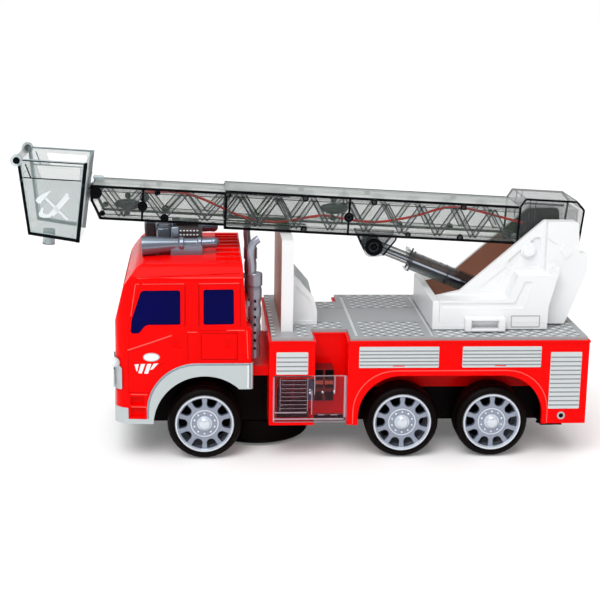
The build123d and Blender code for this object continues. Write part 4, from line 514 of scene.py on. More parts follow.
def add_rim(work, place):
    """A rim with its disc, hub, cap and bolts; the ring, cap, collar and bolts get a painted highlight, and the
    sides of the disc's windows get painted shade.
    """
    first = len(work.faces)
    add_lathe(work, RIM_PROFILE + RIM_PROFILE[:1], place, 40)
    paint_from(work, first, 1)
    first, first_corner = len(work.faces), len(work.verts)
    work.from_mesh(RIM_DISC)
    work.verts.ensure_lookup_table()
    work.normal_update()
    work.faces.ensure_lookup_table()
    for face in work.faces[first:]:
        # the sides of the windows get the painted shade
        face.material_index = 0 if abs(face.normal.z) > 0.95 else 2
    sunk = place @ Matrix.Translation((0, 0, DISC_FACE - DISC_T / 2))
    for corner in work.verts[first_corner:]:
        corner.co = sunk @ corner.co
    add_lathe(work, HUB_PROFILE, place, 20)
    first = len(work.faces)
    add_lathe(work, CAP_PROFILE, place, 24)
    add_lathe(work, COLLAR_PROFILE, place, 40)
    for bolt in range(RIM_WINDOWS):
        middle = on_circle(BOLT_RING_R, 2 * pi * bolt / RIM_WINDOWS + pi / 2)
        seat = place @ Matrix.Translation((*middle, DISC_FACE))
        add_lathe(work, BOLT_PROFILE, seat, 8)
    paint_from(work, first, 1)


for name, x in AXLES:
    rims = bmesh.new()
    for side in (1, -1):
        add_rim(rims, outwards(x, TYRE_R, side * TYRE_FACE_Y))
    piece(name + "_rim_pair", rims, (RIM_SILVER, RIM_HIGHLIGHT, RIM_PAINTED_SHADE), name + "_rims", replaced=True)
    backs = bmesh.new()
    add_turned(backs, BACK_PROFILE, x, TYRE_R, TYRE_FACE_Y, 32)
    piece(name + "_wheel_backs", backs, BLACK, name + "_tyres")

# ---- plain mouldings
PLAIN = (
    # node, material, edge rounding in mm
    ("chassis_frame", BLACK, 0.4),
    ("drive_turntable", BLACK, 0.5),
    ("drive_wheels", TYRE, 0.4),
    ("side_shutters", SLAT_GREY, 0.12),
    ("rear_shutter", SLAT_GREY, 0.12),
    ("tail_lamps", RED_LENS, 0.5),
    ("cab_glazing", BLUE, 0.1),
    ("headlamp_bowls", CHROME, 0.3),
    ("cab_grille", SILVER, 0.3),
    ("beacon_bar", DARK, 0.5),
    ("elevation_pin", WHITE, 0.3),
    ("barrel_pin", STEEL, 0.3),
    ("fly_hinge", DARK, 0.3),
    ("turret_base", WHITE, 0.5),
    ("basket_rod", SMOKE_DEEP, 0.3),
)
for node, material, width in PLAIN:
    taken_over(node, (material,), width)


def door_skin(x):
    """Half width of the cab's side at a length: it turns in ahead of the wheel."""
    return CAB_SIDE_Y - max(x - 30.0, 0) * 0.0825


# The red shells' rounded edges get the painted highlight, and so do the faces that stand out from the cab's side
taken_over("body_shell", (RED, RED_HIGHLIGHT), 0.4, edge=1)
taken_over("cab_shell", (RED, RED_HIGHLIGHT), 0.4,
           lambda point, normal: abs(point.y) > door_skin(point.x) + 0.25 and abs(normal.y) > 0.7, edge=1)
# The trim's rounded edges get the painted dark reflection
taken_over("bumper_trim", (SILVER, TRIM_DARK_REFLECTION), 0.45, edge=1)
taken_over("headlamp_lenses", (LENS, LENS_EDGE), 0.25, edge=1,
           pick=lambda point, normal: abs(normal.z) > 0.5 or normal.x < -0.5)
taken_over("clear_covers", (CLEAR, CLEAR_EDGE), 0.3, edge=1)
STACK_END_Z = 105.3         # the stacks' own pipes start here
taken_over("exhaust_stacks", (STACK_GREY,), 0.15, angle=40.0, plane=((0, 0, STACK_END_Z), (0, 0, 1)),
           ends=True)

HORN_MOUTH_X, HORN_Y, HORN_Z, HORN_DIP = 35.2, 24.0, 117.9, radians(3)


def horn_part(point, normal):
    """The bore in a horn's mouth gets painted shade, in black."""
    axis_z = HORN_Z + (HORN_MOUTH_X - point.x) * tan(HORN_DIP)
    off_axis = Vector((0, abs(point.y) - HORN_Y, point.z - axis_z))
    inwards = off_axis.dot(Vector((0, copysign(normal.y, normal.y * point.y), normal.z))) < 0
    return point.x > 22 and inwards and off_axis.length < 5.2


taken_over("roof_horns", (HORN_GREY, BLACK), 0.2, horn_part, angle=35.0)
taken_over("deck_plate", (GREY, SEAM), 0.15,
           lambda point, normal: normal.z > 0.9 and DECK_Z - 1 < point.z < DECK_Z - 0.3)
# The ladder rest's front face gets the painted brown shade
taken_over("ladder_rest", (WHITE, PAINTED_SHADE_BROWN), 0.6, lambda point, normal: normal.x > 0.9 and point.x > -43.5)
# The cheeks' inner faces get the painted brown shade
for node in ("turret_left", "turret_right"):
    taken_over(node, (WHITE, PAINTED_SHADE_BROWN), 0.5,
               lambda point, normal: abs(point.y) < 19.4 and normal.y * point.y < 0)

# ---- smoked mouldings of the ladder
ALONG_LADDER = (cos(LADDER_TILT), 0, sin(LADDER_TILT))
LADDER_SET = (SMOKE, SMOKE_ROOF_LIT, SMOKE_RIB, SMOKE_LINE, SMOKE_TAIL)
WALL, ROOF, RIB, LINE, TAIL = range(len(LADDER_SET))
HOOD_FRONT = 7.0
FLY_TAIL_X = BOOM_FRONT - 37.0          # the inner section's lattice goes on this far back, for its slide


def ladder_face(high, front, side, tail_end):
    """Which material a face of a ladder section gets; its tail lies within another moulding."""
    def pick(point, normal):
        place = FROM_LADDER @ point
        if place.x < tail_end:
            return TAIL
        # Upward faces get the paler tint of painted light
        if normal.z > 0.8 and place.z > high - 0.2:
            return ROOF
        if abs(normal.y) > 0.7 and normal.y * place.y > 0 and abs(place.y) > side - 0.25:
            return LINE if place.x > front - 2.8 or abs(place.y) > side + 0.05 else RIB
        return WALL
    return pick


for section, pick, tail_end in (
        ("boom", ladder_face(BOOM_HIGH, BOOM_FRONT, BOOM_SIDE, HOOD_FRONT), HOOD_FRONT - 0.5),
        ("fly", ladder_face(FLY_HIGH, FLY_FRONT, FLY_SIDE, BOOM_FRONT - 1), BOOM_FRONT - 0.5)):
    for half in ("_left", "_right"):
        taken_over(section + half, LADDER_SET, 0.22, pick, segments=1,
                   plane=(IN_LADDER @ Vector((tail_end, 0, 0)), ALONG_LADDER))
# The hood's upward faces get the painted light
taken_over("boom_hood", (HOOD, HOOD_TOP_LIT), 0.5, lambda point, normal: normal.z > 0.5 and point.z > 136)
taken_over("boom_lug", (SMOKE_DEEP, SMOKE_NAVY), 0.4)
FLOOR_FRONT_X, FLOOR_REAR_X, TUB_TOP_Z, TUB_DEPTH = 97.4, 70.0, 165.2, 43.0
FLOOR_SAG, FLOOR_REACH = 3.1, 1.3


def sagging(point):
    """The tub's floor lies lower and further back at its rear edge."""
    place = IN_BASKET.inverted() @ point
    depth = min(max((TUB_TOP_Z - place.z) / TUB_DEPTH, 0), 1.1)
    share = depth * (FLOOR_FRONT_X - place.x) / (FLOOR_FRONT_X - FLOOR_REAR_X)
    if place.x > FLOOR_REAR_X - 6 and abs(place.y) < 30:
        inwards = copysign(FLOOR_SAG * tan(BASKET_TILT), place.y)
        place = place - Vector((FLOOR_REACH, inwards, FLOOR_SAG)) * max(share, 0)
    return IN_BASKET @ place


tub = taken_over("basket_tub", (TUB, TUB_RIM), 0.4, lambda point, normal: normal.z > 0.8 and point.z > 160)
for corner in tub.data.vertices:
    corner.co = TOY @ sagging(TO_DRAWING @ corner.co)
nozzle = bmesh.new()
NOZZLE = Matrix.Translation((88.0, 0, 121.2))
add_lathe(nozzle, ((3.5, 0.4), (3.6, -8.2), (2.7, -8.2), (2.6, 0.4)), NOZZLE, 24)
first = len(nozzle.faces)
for up in (-2.6, -8.25):
    add_lathe(nozzle, ((3.65, up), (3.65, up + 0.6), (3.3, up + 0.6)), NOZZLE, 24)
paint_from(nozzle, first, 1)
piece("nozzle_cup", nozzle, (TUB_RIM, SMOKE_LINE), "basket_nozzle", place=IN_BASKET, replaced=True, angle=45)

# ---- dark edges of the clear mouldings
RIB_W, RAIL_H = 2.4, 2.4
BORDER_W = 0.75             # line along a rib's edge
RAIL_LINE_W = 1.5           # line along the ladder's upper and lower edges
LINE_IN, LINE_OUT = 0.1, 0.05       # how far a line lies in its surface and stands on it
LATTICES = (
    # node, half width, lower and upper edge, first bay, length of a bay, bays, drawn from, drawn up to
    ("boom_left", BOOM_SIDE, BOOM_LOW, BOOM_HIGH, 11.7, 10.38, 16, 11.7, 175.0),
    ("fly_left", FLY_SIDE, FLY_LOW, FLY_HIGH, 116.6, 11.8, 11, BOOM_FRONT, FLY_FRONT - 3),
)
# Bold lines on the sides, along and up: first end, second end, width
BOOM_BOLD = (
    ((HOOD_FRONT, BOOM_HIGH - 0.45), (BOOM_FRONT, BOOM_HIGH - 0.45), RAIL_LINE_W),
    ((-20.0, BOOM_LOW + 0.65), (BOOM_FRONT, BOOM_LOW + 0.65), RAIL_LINE_W),
    ((175.7, BOOM_LOW), (175.7, BOOM_HIGH), 1.4),
    ((105.1, BOOM_LOW), (105.1, BOOM_HIGH), 1.2),
)
FLY_BOLD = (
    ((BOOM_FRONT, FLY_HIGH - 0.45), (FLY_FRONT - 0.1, FLY_HIGH - 0.45), RAIL_LINE_W),
    ((BOOM_FRONT, FLY_LOW + 0.65), (246.9, FLY_LOW + 0.65), RAIL_LINE_W),
    ((246.0, FLY_LOW + 0.3), (251.3, 13.8), RAIL_LINE_W),
    ((251.4, 13.4), (251.9, FLY_HIGH - 0.2), RAIL_LINE_W),
    ((222.9, FLY_LOW), (222.9, FLY_HIGH), 1.2),
)
# Fine lines along the rails' inner edges: height, from, up to
BOOM_FINE = ((BOOM_LOW + 3.1, HOOD_FRONT, 175.0), (BOOM_HIGH - 3.3, HOOD_FRONT, 175.0))
FLY_FINE = ((FLY_LOW + 3.1, BOOM_FRONT, 246.5), (FLY_HIGH - 3.0, BOOM_FRONT, 251.0))
# Studs on the sides: along, up, radius
STUDS = {
    "boom_left": ((175.0, 22.2, 1.8), (130.6, 22.2, 1.8), (91.2, 22.2, 1.8), (39.3, 22.2, 1.8), (130.6, 4.4, 1.8),
                  (70.2, 4.4, 1.6), (39.8, 4.4, 1.9), (105.1, 12.8, 2.7)),
    "fly_left": ((210.2, 6.2, 2.4), (245.4, 7.2, 1.6), (214.7, 20.8, 1.6), (222.9, 12.4, 2.8), (249.3, 18.6, 3.4)),
}


def kept_part(one, two, start, end):
    """The part of a line between two places along the ladder, or nothing."""
    if one.x > two.x:
        one, two = two, one
    if two.x <= start or one.x >= end:
        return None
    share = two.x - one.x
    return one.lerp(two, max(0, (start - one.x) / share)), one.lerp(two, min(1, (end - one.x) / share))


def add_lattice_borders(work, low, high, first, pitch, bays, start, end, skin):
    """Lines along both edges of every rib of a lattice, drawn between two places along the ladder."""
    low, high = low + RAIL_H, high - RAIL_H
    half = RIB_W / 2 * hypot(pitch, high - low) / (high - low)
    for bay in range(bays):
        one = Vector((first + bay * pitch, high if bay % 2 else low))
        two = Vector((one.x + pitch, low if bay % 2 else high))
        for shift in (-half, half):
            kept = kept_part(one + Vector((shift, 0)), two + Vector((shift, 0)), start, end)
            if kept:
                add_line(work, *kept, BORDER_W, *skin)


for (node, half_w, low, high, *bays), bold, fine in zip(LATTICES, (BOOM_BOLD, FLY_BOLD), (BOOM_FINE, FLY_FINE)):
    work = bmesh.new()
    skin = half_w - LINE_IN, half_w + LINE_OUT
    add_lattice_borders(work, low, high, *bays, skin)
    for up, start, end in fine:
        add_line(work, (start, up), (end, up), 0.5, *skin)
    paint_backs(work, half_w, 0, 2)
    first = len(work.faces)
    for line in bold:
        add_line(work, *line, half_w - LINE_IN, half_w + 2 * LINE_OUT)
    for along, up, radius in STUDS[node]:
        stud = ((radius, -0.6), (radius, 0), (radius * 0.55, 0.05), (radius * 0.5, -0.3), (0, -0.3))
        add_turned(work, stud, along, up, half_w + 0.42, 18)
    paint_from(work, first, 1)
    paint_backs(work, half_w, first, 3)
    piece(node[:-5] + "_lines", work, (SMOKE_LINE, SMOKE_EDGE, FAINT, FAINT_DARK), node, place=IN_LADDER)

tail_lines = bmesh.new()
skin = FLY_SIDE - LINE_IN, FLY_SIDE + LINE_OUT
# in step with the outer section's ribs, which cover these at rest
add_lattice_borders(tail_lines, FLY_LOW, FLY_HIGH, *LATTICES[0][4:7], FLY_TAIL_X, BOOM_FRONT, skin)
for up in (FLY_HIGH - 0.45, FLY_LOW + 0.65):
    add_line(tail_lines, (FLY_TAIL_X, up), (BOOM_FRONT, up), 0.9, *skin)
piece("fly_tail_lines", tail_lines, TAIL_LINE, "fly_left", place=IN_LADDER)

PLUG_PROFILE = ((0, -7.6), (1.6, -7.2), (2.6, -5.0), (3.3, -1.5), (3.1, 2.0), (2.2, 5.4), (1.3, 7.0), (0, 7.4))
ALONG_TOY = Matrix.Rotation(radians(90), 4, "Y")
for node, along, up in (("fly_module", 232.0, 10.6), ("boom_module", 113.0, 14.4)):
    plugs = bmesh.new()
    add_lathe(plugs, PLUG_PROFILE, Matrix.Translation((along, 0, up)) @ ALONG_TOY, 20)
    for far in (5.2, -5.2):
        add_block(plugs, (along - 0.6, -0.6, min(up, up + far)), (along + 0.6, 0.6, max(up, up + far)))
        add_lathe(plugs, ((0, -1.2), (1.7, -1.0), (1.7, 1.0), (0, 1.2)), outwards(along, up + far, 0.01), 16)
    piece(node + "_plug", plugs, PLUG, node, place=IN_LADDER, replaced=True, angle=45)
nose = bmesh.new()
add_lathe(nose, ((0, -3.4), (1.1, -3.2), (1.5, -2.0), (1.5, 2.4), (0, 2.9)),
          Matrix.Translation((249.4, 0, 25.2)) @ ALONG_TOY, 16)
piece("nose_peg", nose, TUB_RIM, "fly_left", place=IN_LADDER, angle=45)

HOOD_SIDE, HOOD_LINE_W = 18.2, 1.2
HOOD_LINE = ((6.4, 0.6), (6.4, 24.1), (3.7, 28.8), (-26.4, 28.8), (-31.0, 24.2), (-29.6, 0.6))
HOOD_SKIN = HOOD_SIDE - LINE_IN, HOOD_SIDE + LINE_OUT
hood_lines = bmesh.new()
add_path(hood_lines, HOOD_LINE, HOOD_LINE_W, *HOOD_SKIN)
first = len(hood_lines.faces)
for along, up in HOOD_LINE[2:]:     # cross lines at the roof's bends and down the rear wall
    up += 0.62 if up > 28 else 0.2
    add_block(hood_lines, (along - 0.3, -HOOD_SIDE, up - 0.1), (along + 0.3, HOOD_SIDE, up + 0.05))
for along in (-2.4, 0.9):           # the seam on the sides
    add_line(hood_lines, (along, 12.0), (along, 28.4), 0.5, *HOOD_SKIN)
paint_from(hood_lines, first, 1)
piece("hood_lines", hood_lines, (SMOKE_EDGE, SMOKE_LINE), "boom_hood", place=IN_LADDER)

LUG_ALONG, LUG_UP, LUG_SIDE = 88.3, -5.5, 8.0
LUG_LINES = (((75.4, 1.8), (75.7, -0.9), (82.5, -10.4)), ((98.4, 1.8), (93.6, -7.6)))
LUG_BOSS = ((5.3, -1.0), (5.3, 0), (2.9, 0.05), (2.8, -0.2), (2.2, -0.2), (2.1, 0.05), (0.7, 0.05), (0.6, 0.3),
            (0, 0.3))
lug_lines = bmesh.new()
for points in LUG_LINES:
    add_path(lug_lines, points, 1.0, LUG_SIDE - LINE_IN, LUG_SIDE + LINE_OUT)
add_turned(lug_lines, LUG_BOSS, LUG_ALONG, LUG_UP, 9.35, 28)
piece("lug_lines", lug_lines, SMOKE_EDGE, "boom_lug", place=IN_LADDER)

# ---- lift cylinder
LIFT_FOOT = Vector((-168.0, 0, 86.6))
LIFT_LUG = IN_LADDER @ Vector((LUG_ALONG, 0, LUG_UP))
LIFT_WAY = LIFT_LUG - LIFT_FOOT
IN_LIFT = Matrix.Translation(LIFT_FOOT) @ Matrix.Rotation(-atan2(LIFT_WAY.z, LIFT_WAY.x), 4, "Y")
BARREL_MOUTH, BARREL_LOW, BARREL_HIGH, BARREL_SIDE = 52.0, -5.5, 4.8, 4.6
MOUTH_SLANT = 2.6           # how far the mouth leans forward at the top and back at the bottom
ROD_HALF_H, ROD_SIDE = 3.2, 2.4


def lift_part(name, side_view, half_w, material, node, width, extra):
    """A moulding of the cylinder from its side view, along it and up from its axis, with more added to it."""
    work = bmesh.new()
    add_plate(work, side_view, SIDE_VIEW, -half_w, half_w)
    extra(work)
    piece(name, work, material, node, width, IN_LIFT, replaced=True)


ACROSS_TOY = Matrix.Rotation(radians(90), 4, "X")


def barrel_ends(work):
    add_lathe(work, ((0, -7), (5, -7), (5, 7), (0, 7)), ACROSS_TOY, 28)
    for along, up in ((BARREL_MOUTH + MOUTH_SLANT - 2.4, BARREL_HIGH),
                      (BARREL_MOUTH - MOUTH_SLANT, BARREL_LOW - 1.1)):
        add_block(work, (along, -4.8, up), (along + 2.4, 4.8, up + 1.1))
    for along in (43.9, 31.8):
        add_block(work, (along - 0.7, -1.0, BARREL_HIGH - 0.1), (along + 0.7, 1.0, BARREL_HIGH + 0.4))


def rod_eye(work):
    eye = Matrix.Translation((LIFT_WAY.length, 0, 0)) @ ACROSS_TOY
    add_lathe(work, ((0, -4.2), (4.2, -4.2), (4.2, 4.2), (0, 4.2)), eye, 24)


lift_part("barrel_shape", ((3.0, BARREL_LOW), (BARREL_MOUTH - MOUTH_SLANT, BARREL_LOW),
                           (BARREL_MOUTH + MOUTH_SLANT, BARREL_HIGH), (3.0, BARREL_HIGH)),
          BARREL_SIDE, SMOKE_DEEP, "lift_barrel", 0.9, barrel_ends)
ROD_START, ROD_END = 12.5, LIFT_WAY.length - 4.0      # most of the rod lies in the barrel at rest
lift_part("rod_shape", bar((ROD_START, 0), (ROD_END, 0), 2 * ROD_HALF_H), ROD_SIDE, SMOKE_DEEP, "lift_rod", 0.4,
          rod_eye)
# Lines along the cylinder's sides, which paint its highlight and the shaded bands across its round: node, side,
# up, width, from, up to, material
LIFT_LINES = (
    ("lift_barrel", BARREL_SIDE, 0.15, 1.1, 18.0, 50.5, SMOKE_HIGHLIGHT),
    ("lift_barrel", BARREL_SIDE, -1.2, 1.4, 8.0, 50.0, SMOKE_NAVY),
    ("lift_barrel", BARREL_SIDE, -3.6, 2.9, 8.0, 50.0, SMOKE_RIB),
    ("lift_barrel", BARREL_SIDE, 2.6, 3.2, 8.0, 51.0, WARM_SHADE),
    ("lift_rod", ROD_SIDE, 2.9, 0.5, 14.0, 70.0, SMOKE_LINE),
    ("lift_rod", ROD_SIDE, 0.7, 0.6, 14.0, 70.0, SMOKE_LINE),
    ("lift_rod", ROD_SIDE, -0.1, 0.8, 14.0, 70.0, SMOKE_HIGHLIGHT),
    ("lift_rod", ROD_SIDE, -1.0, 0.7, 14.0, 70.0, SMOKE_NAVY),
    ("lift_rod", ROD_SIDE, -2.9, 0.4, 14.0, 70.0, SMOKE_LINE),
)
for index, (node, half_w, up, width, start, end, material) in enumerate(LIFT_LINES):
    work = bmesh.new()
    add_line(work, (start, up), (end, up), width, half_w - LINE_IN, half_w + 0.12)
    piece(f"{node}_line_{index}", work, material, node, place=IN_LIFT)
bands = bmesh.new()
for along, low, high in ((26.8, BARREL_LOW, BARREL_HIGH), (49.9, -6.3, 6.3)):
    add_blocks(bands, (along - 0.5, BARREL_SIDE - 0.1, low), (along + 0.5, BARREL_SIDE + 0.3, high))
piece("barrel_bands", bands, SMOKE_NAVY, "lift_barrel", 0.1, IN_LIFT)

# ---- shutters: painted shade in the gaps under their slats
SHUTTERS = (
    # front end x, rear end x, bottom z, top z, slats, middle of the red handle notch
    (-40.1, -57.9, 50.4, 63.3, 5, None),
    (-86.6, -131.8, 54.1, 66.3, 6, -109.2),
    (-145.2, -190.3, 54.1, 66.3, 6, -167.0),
    (-195.8, -213.7, 29.4, 62.9, 13, None),
)
SHUTTER_SKIN = SIDE_Y - 0.2, SIDE_Y + 0.25
gaps, notches = bmesh.new(), bmesh.new()
for front, rear, low_z, high_z, slats, notch in SHUTTERS:
    for slat in range(1, slats):
        z = low_z + (high_z - low_z) * slat / slats - 0.35
        add_line(gaps, (front - 0.3, z), (rear + 0.3, z), 0.85, *SHUTTER_SKIN)
    if notch:
        z = low_z + 0.6
        add_line(notches, (notch + 3.4, z), (notch - 3.4, z), 1.2, *SHUTTER_SKIN)
piece("shutter_slat_shades", gaps, SLAT_GAP_SHADE, "side_shutters")
piece("shutter_notches", notches, RED, "body_shell", 0.2)

# ---- deck tread
TREAD_ROWS = (
    # front x, rear x, low y, high y, of the left side
    (-37.0, -42.5, 1.5, 50.0),
    (-51.5, -60.0, 18.8, 50.0),
    (-61.5, -82.5, 18.8, 32.0),
    (-88.5, -126.0, 18.8, 50.0),
    (-131.0, -215.0, 38.6, 50.0),
    (-199.5, -215.0, 18.8, 36.0),
)
TREAD_STEP = 3.6
TREAD_L, TREAD_W, TREAD_H = 4.2, 1.7, 0.16


def add_lozenge(work, x, y, turn):
    """A raised lozenge of the tread, smaller at its top."""
    long_way = on_circle(TREAD_L / 2, turn).to_3d()
    short_way = on_circle(TREAD_W / 2, turn + pi / 2).to_3d()
    foot = Vector((x, y, DECK_Z))
    lift = Vector((0, 0, TREAD_H))
    ways = long_way, short_way, -long_way, -short_way
    low = [work.verts.new(foot + way) for way in ways]
    high = [work.verts.new(foot + lift + way * 0.5) for way in ways]
    work.faces.new(high)
    for index in range(4):
        ahead = (index + 1) % 4
        work.faces.new((low[index], low[ahead], high[ahead], high[index]))


tread = bmesh.new()
first = 0
for front, rear, low_y, high_y in TREAD_ROWS:
    for row in range(int((front - rear) / TREAD_STEP)):
        for column in range(int((high_y - low_y) / TREAD_STEP) + 1):
            x = front - (row + 0.5) * TREAD_STEP
            y = low_y + column * TREAD_STEP
            turn = radians(45 if (row + column) % 2 else -45)
            add_lozenge(tread, x, y, turn)
            add_lozenge(tread, x, -y, turn)
            # the lozenge's turn decides whether it gets the painted highlight or the painted shade
            paint_from(tread, first, (row + column) % 2)
            first = len(tread.faces)
piece("deck_tread", tread, (TREAD_LIT, TREAD_SHADED), "deck_plate")

# ---- clear covers on the body's sides
MODULE_OUT, MODULE_BACK, MODULE_FACE = 48.0, 34.0, 47.4
# Blocks behind a cover: front x, rear x, low z, high z, how far out, material
MODULE_BLOCKS = (
    ((-43.1, -57.2, 33.4, 48.8, MODULE_FACE, 0), (-58.1, -61.5, 33.5, 49.0, MODULE_OUT, 1),
     (-62.0, -73.1, 33.2, 51.6, MODULE_FACE, 0))
    + tuple((front, rear, z - 0.7, z + 0.7, MODULE_OUT, 2)
            for front, rear in ((-43.4, -49.4), (-50.3, -56.9))
            for z in (48.0, 45.6, 43.2, 41.0, 38.6, 36.3, 34.1))
    + tuple((front, rear, low, high, MODULE_OUT, index)
            for front, rear in ((-62.4, -66.8), (-68.1, -72.7))
            for low, high, index in ((45.8, 51.5, 2), (43.2, 45.1, 3), (41.0, 43.0, 2), (33.6, 38.7, 2)))
)
MODULE_PINS = ((-66.8, 38.6), (-73.4, 38.8), (-59.7, 39.7), (-59.7, 37.9))
# Lines on a cover: first end, second end, width, material
COVER_LINES = (
    tuple(((-42.8, z), (-57.7, z), 0.3, 2) for z in (46.9, 44.5, 42.2, 39.8, 37.4, 35.1, 32.7, 30.5))
    + (
        ((-39.5, 28.0), (-57.5, 28.0), 0.7, 0), ((-39.2, 24.2), (-78.5, 24.2), 0.8, 0),
        ((-60.3, 26.9), (-60.3, 41.0), 0.5, 0), ((-61.8, 38.5), (-61.8, 49.5), 0.5, 0),
        ((-73.2, 39.0), (-73.2, 49.5), 0.5, 0), ((-79.0, 25.0), (-79.0, 49.5), 1.1, 0),
        ((-38.9, 22.4), (-38.9, 49.4), 0.6, 0), ((-42.4, 29.0), (-42.4, 48.0), 0.4, 2),
        ((-57.9, 29.0), (-57.9, 48.0), 0.4, 2), ((-62.0, 27.2), (-78.0, 27.2), 0.6, 1),
        ((-64.0, 26.6), (-67.5, 26.6), 0.4, 0), ((-71.0, 26.6), (-75.0, 26.6), 0.4, 0),
        ((-38.6, 49.2), (-60.0, 49.2), 0.5, 1),
    )
)

modules, cover_lines, pins = bmesh.new(), bmesh.new(), bmesh.new()
for front, rear, low_z, high_z, out, index in MODULE_BLOCKS:
    first = len(modules.faces)
    add_blocks(modules, (rear, MODULE_BACK, low_z), (front, out, high_z))
    paint_from(modules, first, index)
for *line, index in COVER_LINES:
    first = len(cover_lines.faces)
    add_line(cover_lines, *line, SIDE_Y, SIDE_Y + 0.3)
    paint_from(cover_lines, first, index)
for x, z in MODULE_PINS:
    add_turned(pins, ((0.8, -0.4), (0.8, 0.3), (0.5, 0.5), (0, 0.5)), x, z, MODULE_OUT, 12)
piece("module_blocks", modules, (MODULE_RED, MODULE_NAVY, BLACK, MODULE_ORANGE), "sound_modules", 0.15,
      replaced=True)
piece("cover_lines", cover_lines, (CLEAR_EDGE, SMOKE_LINE, CLEAR_FINE), "clear_covers")
piece("module_pins", pins, CHROME, "sound_modules", slot="chrome_plastic")

# ---- headlamps
FLUTES, FLUTE_Y, FLUTE_STEP = 8, 37.0, 1.7
flutes, bulbs = bmesh.new(), bmesh.new()
for step in range(FLUTES):
    y = FLUTE_Y + step * FLUTE_STEP
    add_blocks(flutes, (50.2, y - 0.35, 42.6), (50.9, y + 0.35, 53.0))
add_turned(bulbs, ((0, 2.6), (1.6, 2.2), (2.5, 1.0), (2.6, -1.4)), 49.6, 56.6, 47.6, 16)
piece("lamp_flutes", flutes, CHROME, "headlamp_bowls")
piece("lamp_bulbs", bulbs, LENS, "headlamp_lenses")

# ---- marks and lines on the cab's sides: the doors' ovals are blank
OVAL = (29.5, 60.7, 4.1, 2.0)       # middle x, z, half length, half height
STRIPES = (
    # a corner each: x, z
    ((38.9, 56.4), (36.5, 56.6), (37.5, 52.2), (38.0, 53.0)),
    ((35.3, 56.7), (33.0, 56.8), (34.9, 51.2), (36.9, 51.4)),
    ((31.8, 56.8), (29.5, 56.9), (31.4, 51.2), (33.6, 51.2)),
    ((28.3, 57.0), (25.6, 57.2), (28.9, 53.6), (30.3, 53.4)),
)
# Painted highlights where light catches the cab's handles and footholds: x and z of both ends
CAB_HIGHLIGHT_LINES = (
    ((9.5, 75.0), (4.1, 75.0)), ((-12.2, 76.0), (-22.2, 76.0)), ((41.0, 38.9), (32.0, 38.9)),
    ((41.0, 31.6), (32.0, 31.6)),
)
# Lines of the doors and of the frame round the windows: painted highlights where light catches them, and dark
# seams
HIGHLIGHT_CREASES = (
    ((37.0, 105.6), (-20.5, 105.9)), ((37.6, 102.2), (11.2, 102.5)), ((3.0, 102.6), (-19.0, 102.8)),
    ((37.9, 102.2), (40.6, 84.0)), ((-23.4, 75.8), (-24.2, 59.5)),
)
DARK_CREASES = (
    ((10.6, 102.0), (10.6, 78.6)), ((3.2, 102.2), (3.2, 78.0)), ((-19.6, 102.4), (-19.8, 78.0)),
    ((9.4, 74.0), (9.2, 58.6)), ((1.8, 74.2), (1.8, 59.4)), ((-18.2, 74.2), (-18.4, 59.4)),
    ((1.8, 59.3), (-18.4, 59.2)), ((1.8, 74.3), (-18.2, 74.3)),
)
# Flat marks on the cab's side: name, material, slot if not the cab's own, outlines, how far out
CAB_MARKS = (
    ("door_stripes", WHITE, "white_plastic", STRIPES, 0.15),
    ("cab_lines", RED_HIGHLIGHT, None, [bar(*line, 0.5) for line in CAB_HIGHLIGHT_LINES], 0.12),
    ("cab_light_creases", RED_HIGHLIGHT, None, [bar(*line, 0.4) for line in HIGHLIGHT_CREASES], 0.1),
    ("cab_dark_creases", RED_SEAM, None, [bar(*line, 0.4) for line in DARK_CREASES], 0.1),
)
for name, material, slot, outlines, out in CAB_MARKS:
    marks = bmesh.new()
    for side in (1, -1):
        for outline in outlines:
            # the side turns in towards the front
            marks.faces.new([marks.verts.new((x, side * (door_skin(x) + out), z)) for x, z in outline])
    piece(name, marks, material, "cab_shell", slot=slot)
for name, material, slot, grow, out in (("door_ovals", WHITE, "white_plastic", 0.0, 0.22),
                                        ("door_oval_rims", SILVER, "silver_plastic", 0.5, 0.14)):
    oval = bmesh.new()
    x, z, half_l, half_h = OVAL
    for side in (1, -1):
        place = outwards(x, z, side * (door_skin(x) + out)) @ Matrix.Diagonal((half_l + grow, half_h + grow, 1, 1))
        add_lathe(oval, ((0, 0), (1, 0), (1, -0.3)), place, 32)
    piece(name, oval, material, "cab_shell", slot=slot)

# ---- roof bar, stacks and screws
dashes = bmesh.new()        # two rows on each side of the bar
for z in (125.2, 122.8):
    for step in range(6):
        x = 3.4 + step * 1.9
        add_blocks(dashes, (x, 14.8, z - 0.35), (x + 1.1, 15.3, z + 0.35))
piece("bar_dashes", dashes, WHITE, "beacon_bar", slot="white_plastic")
for name, low, high, width in (
        ("bar_brackets", (14.3, 13.6, 120.9), (18.9, 16.0, 127.4), 0.8),
        ("bar_pods", (19.0, 3.0, 118.9), (27.6, 9.0, 125.8), 1.2)):
    boxes = bmesh.new()
    add_blocks(boxes, low, high)
    piece(name, boxes, HORN_GREY, "beacon_bar", width)

STACK_Y = 35.8
# Painted shade: black dots stand for the shaded insides of the stacks' holes
holes = bmesh.new()
for step in range(7):       # a row up each stack, which widens a little on the way
    z = 62.0 + step * 4.6
    add_turned(holes, ((0, 0.35), (0.75, 0.35), (0.75, -0.4)), -28.4, z, STACK_Y + 3.55 + step * 0.06, 10)
piece("stack_hole_shades", holes, BLACK, "exhaust_stacks")

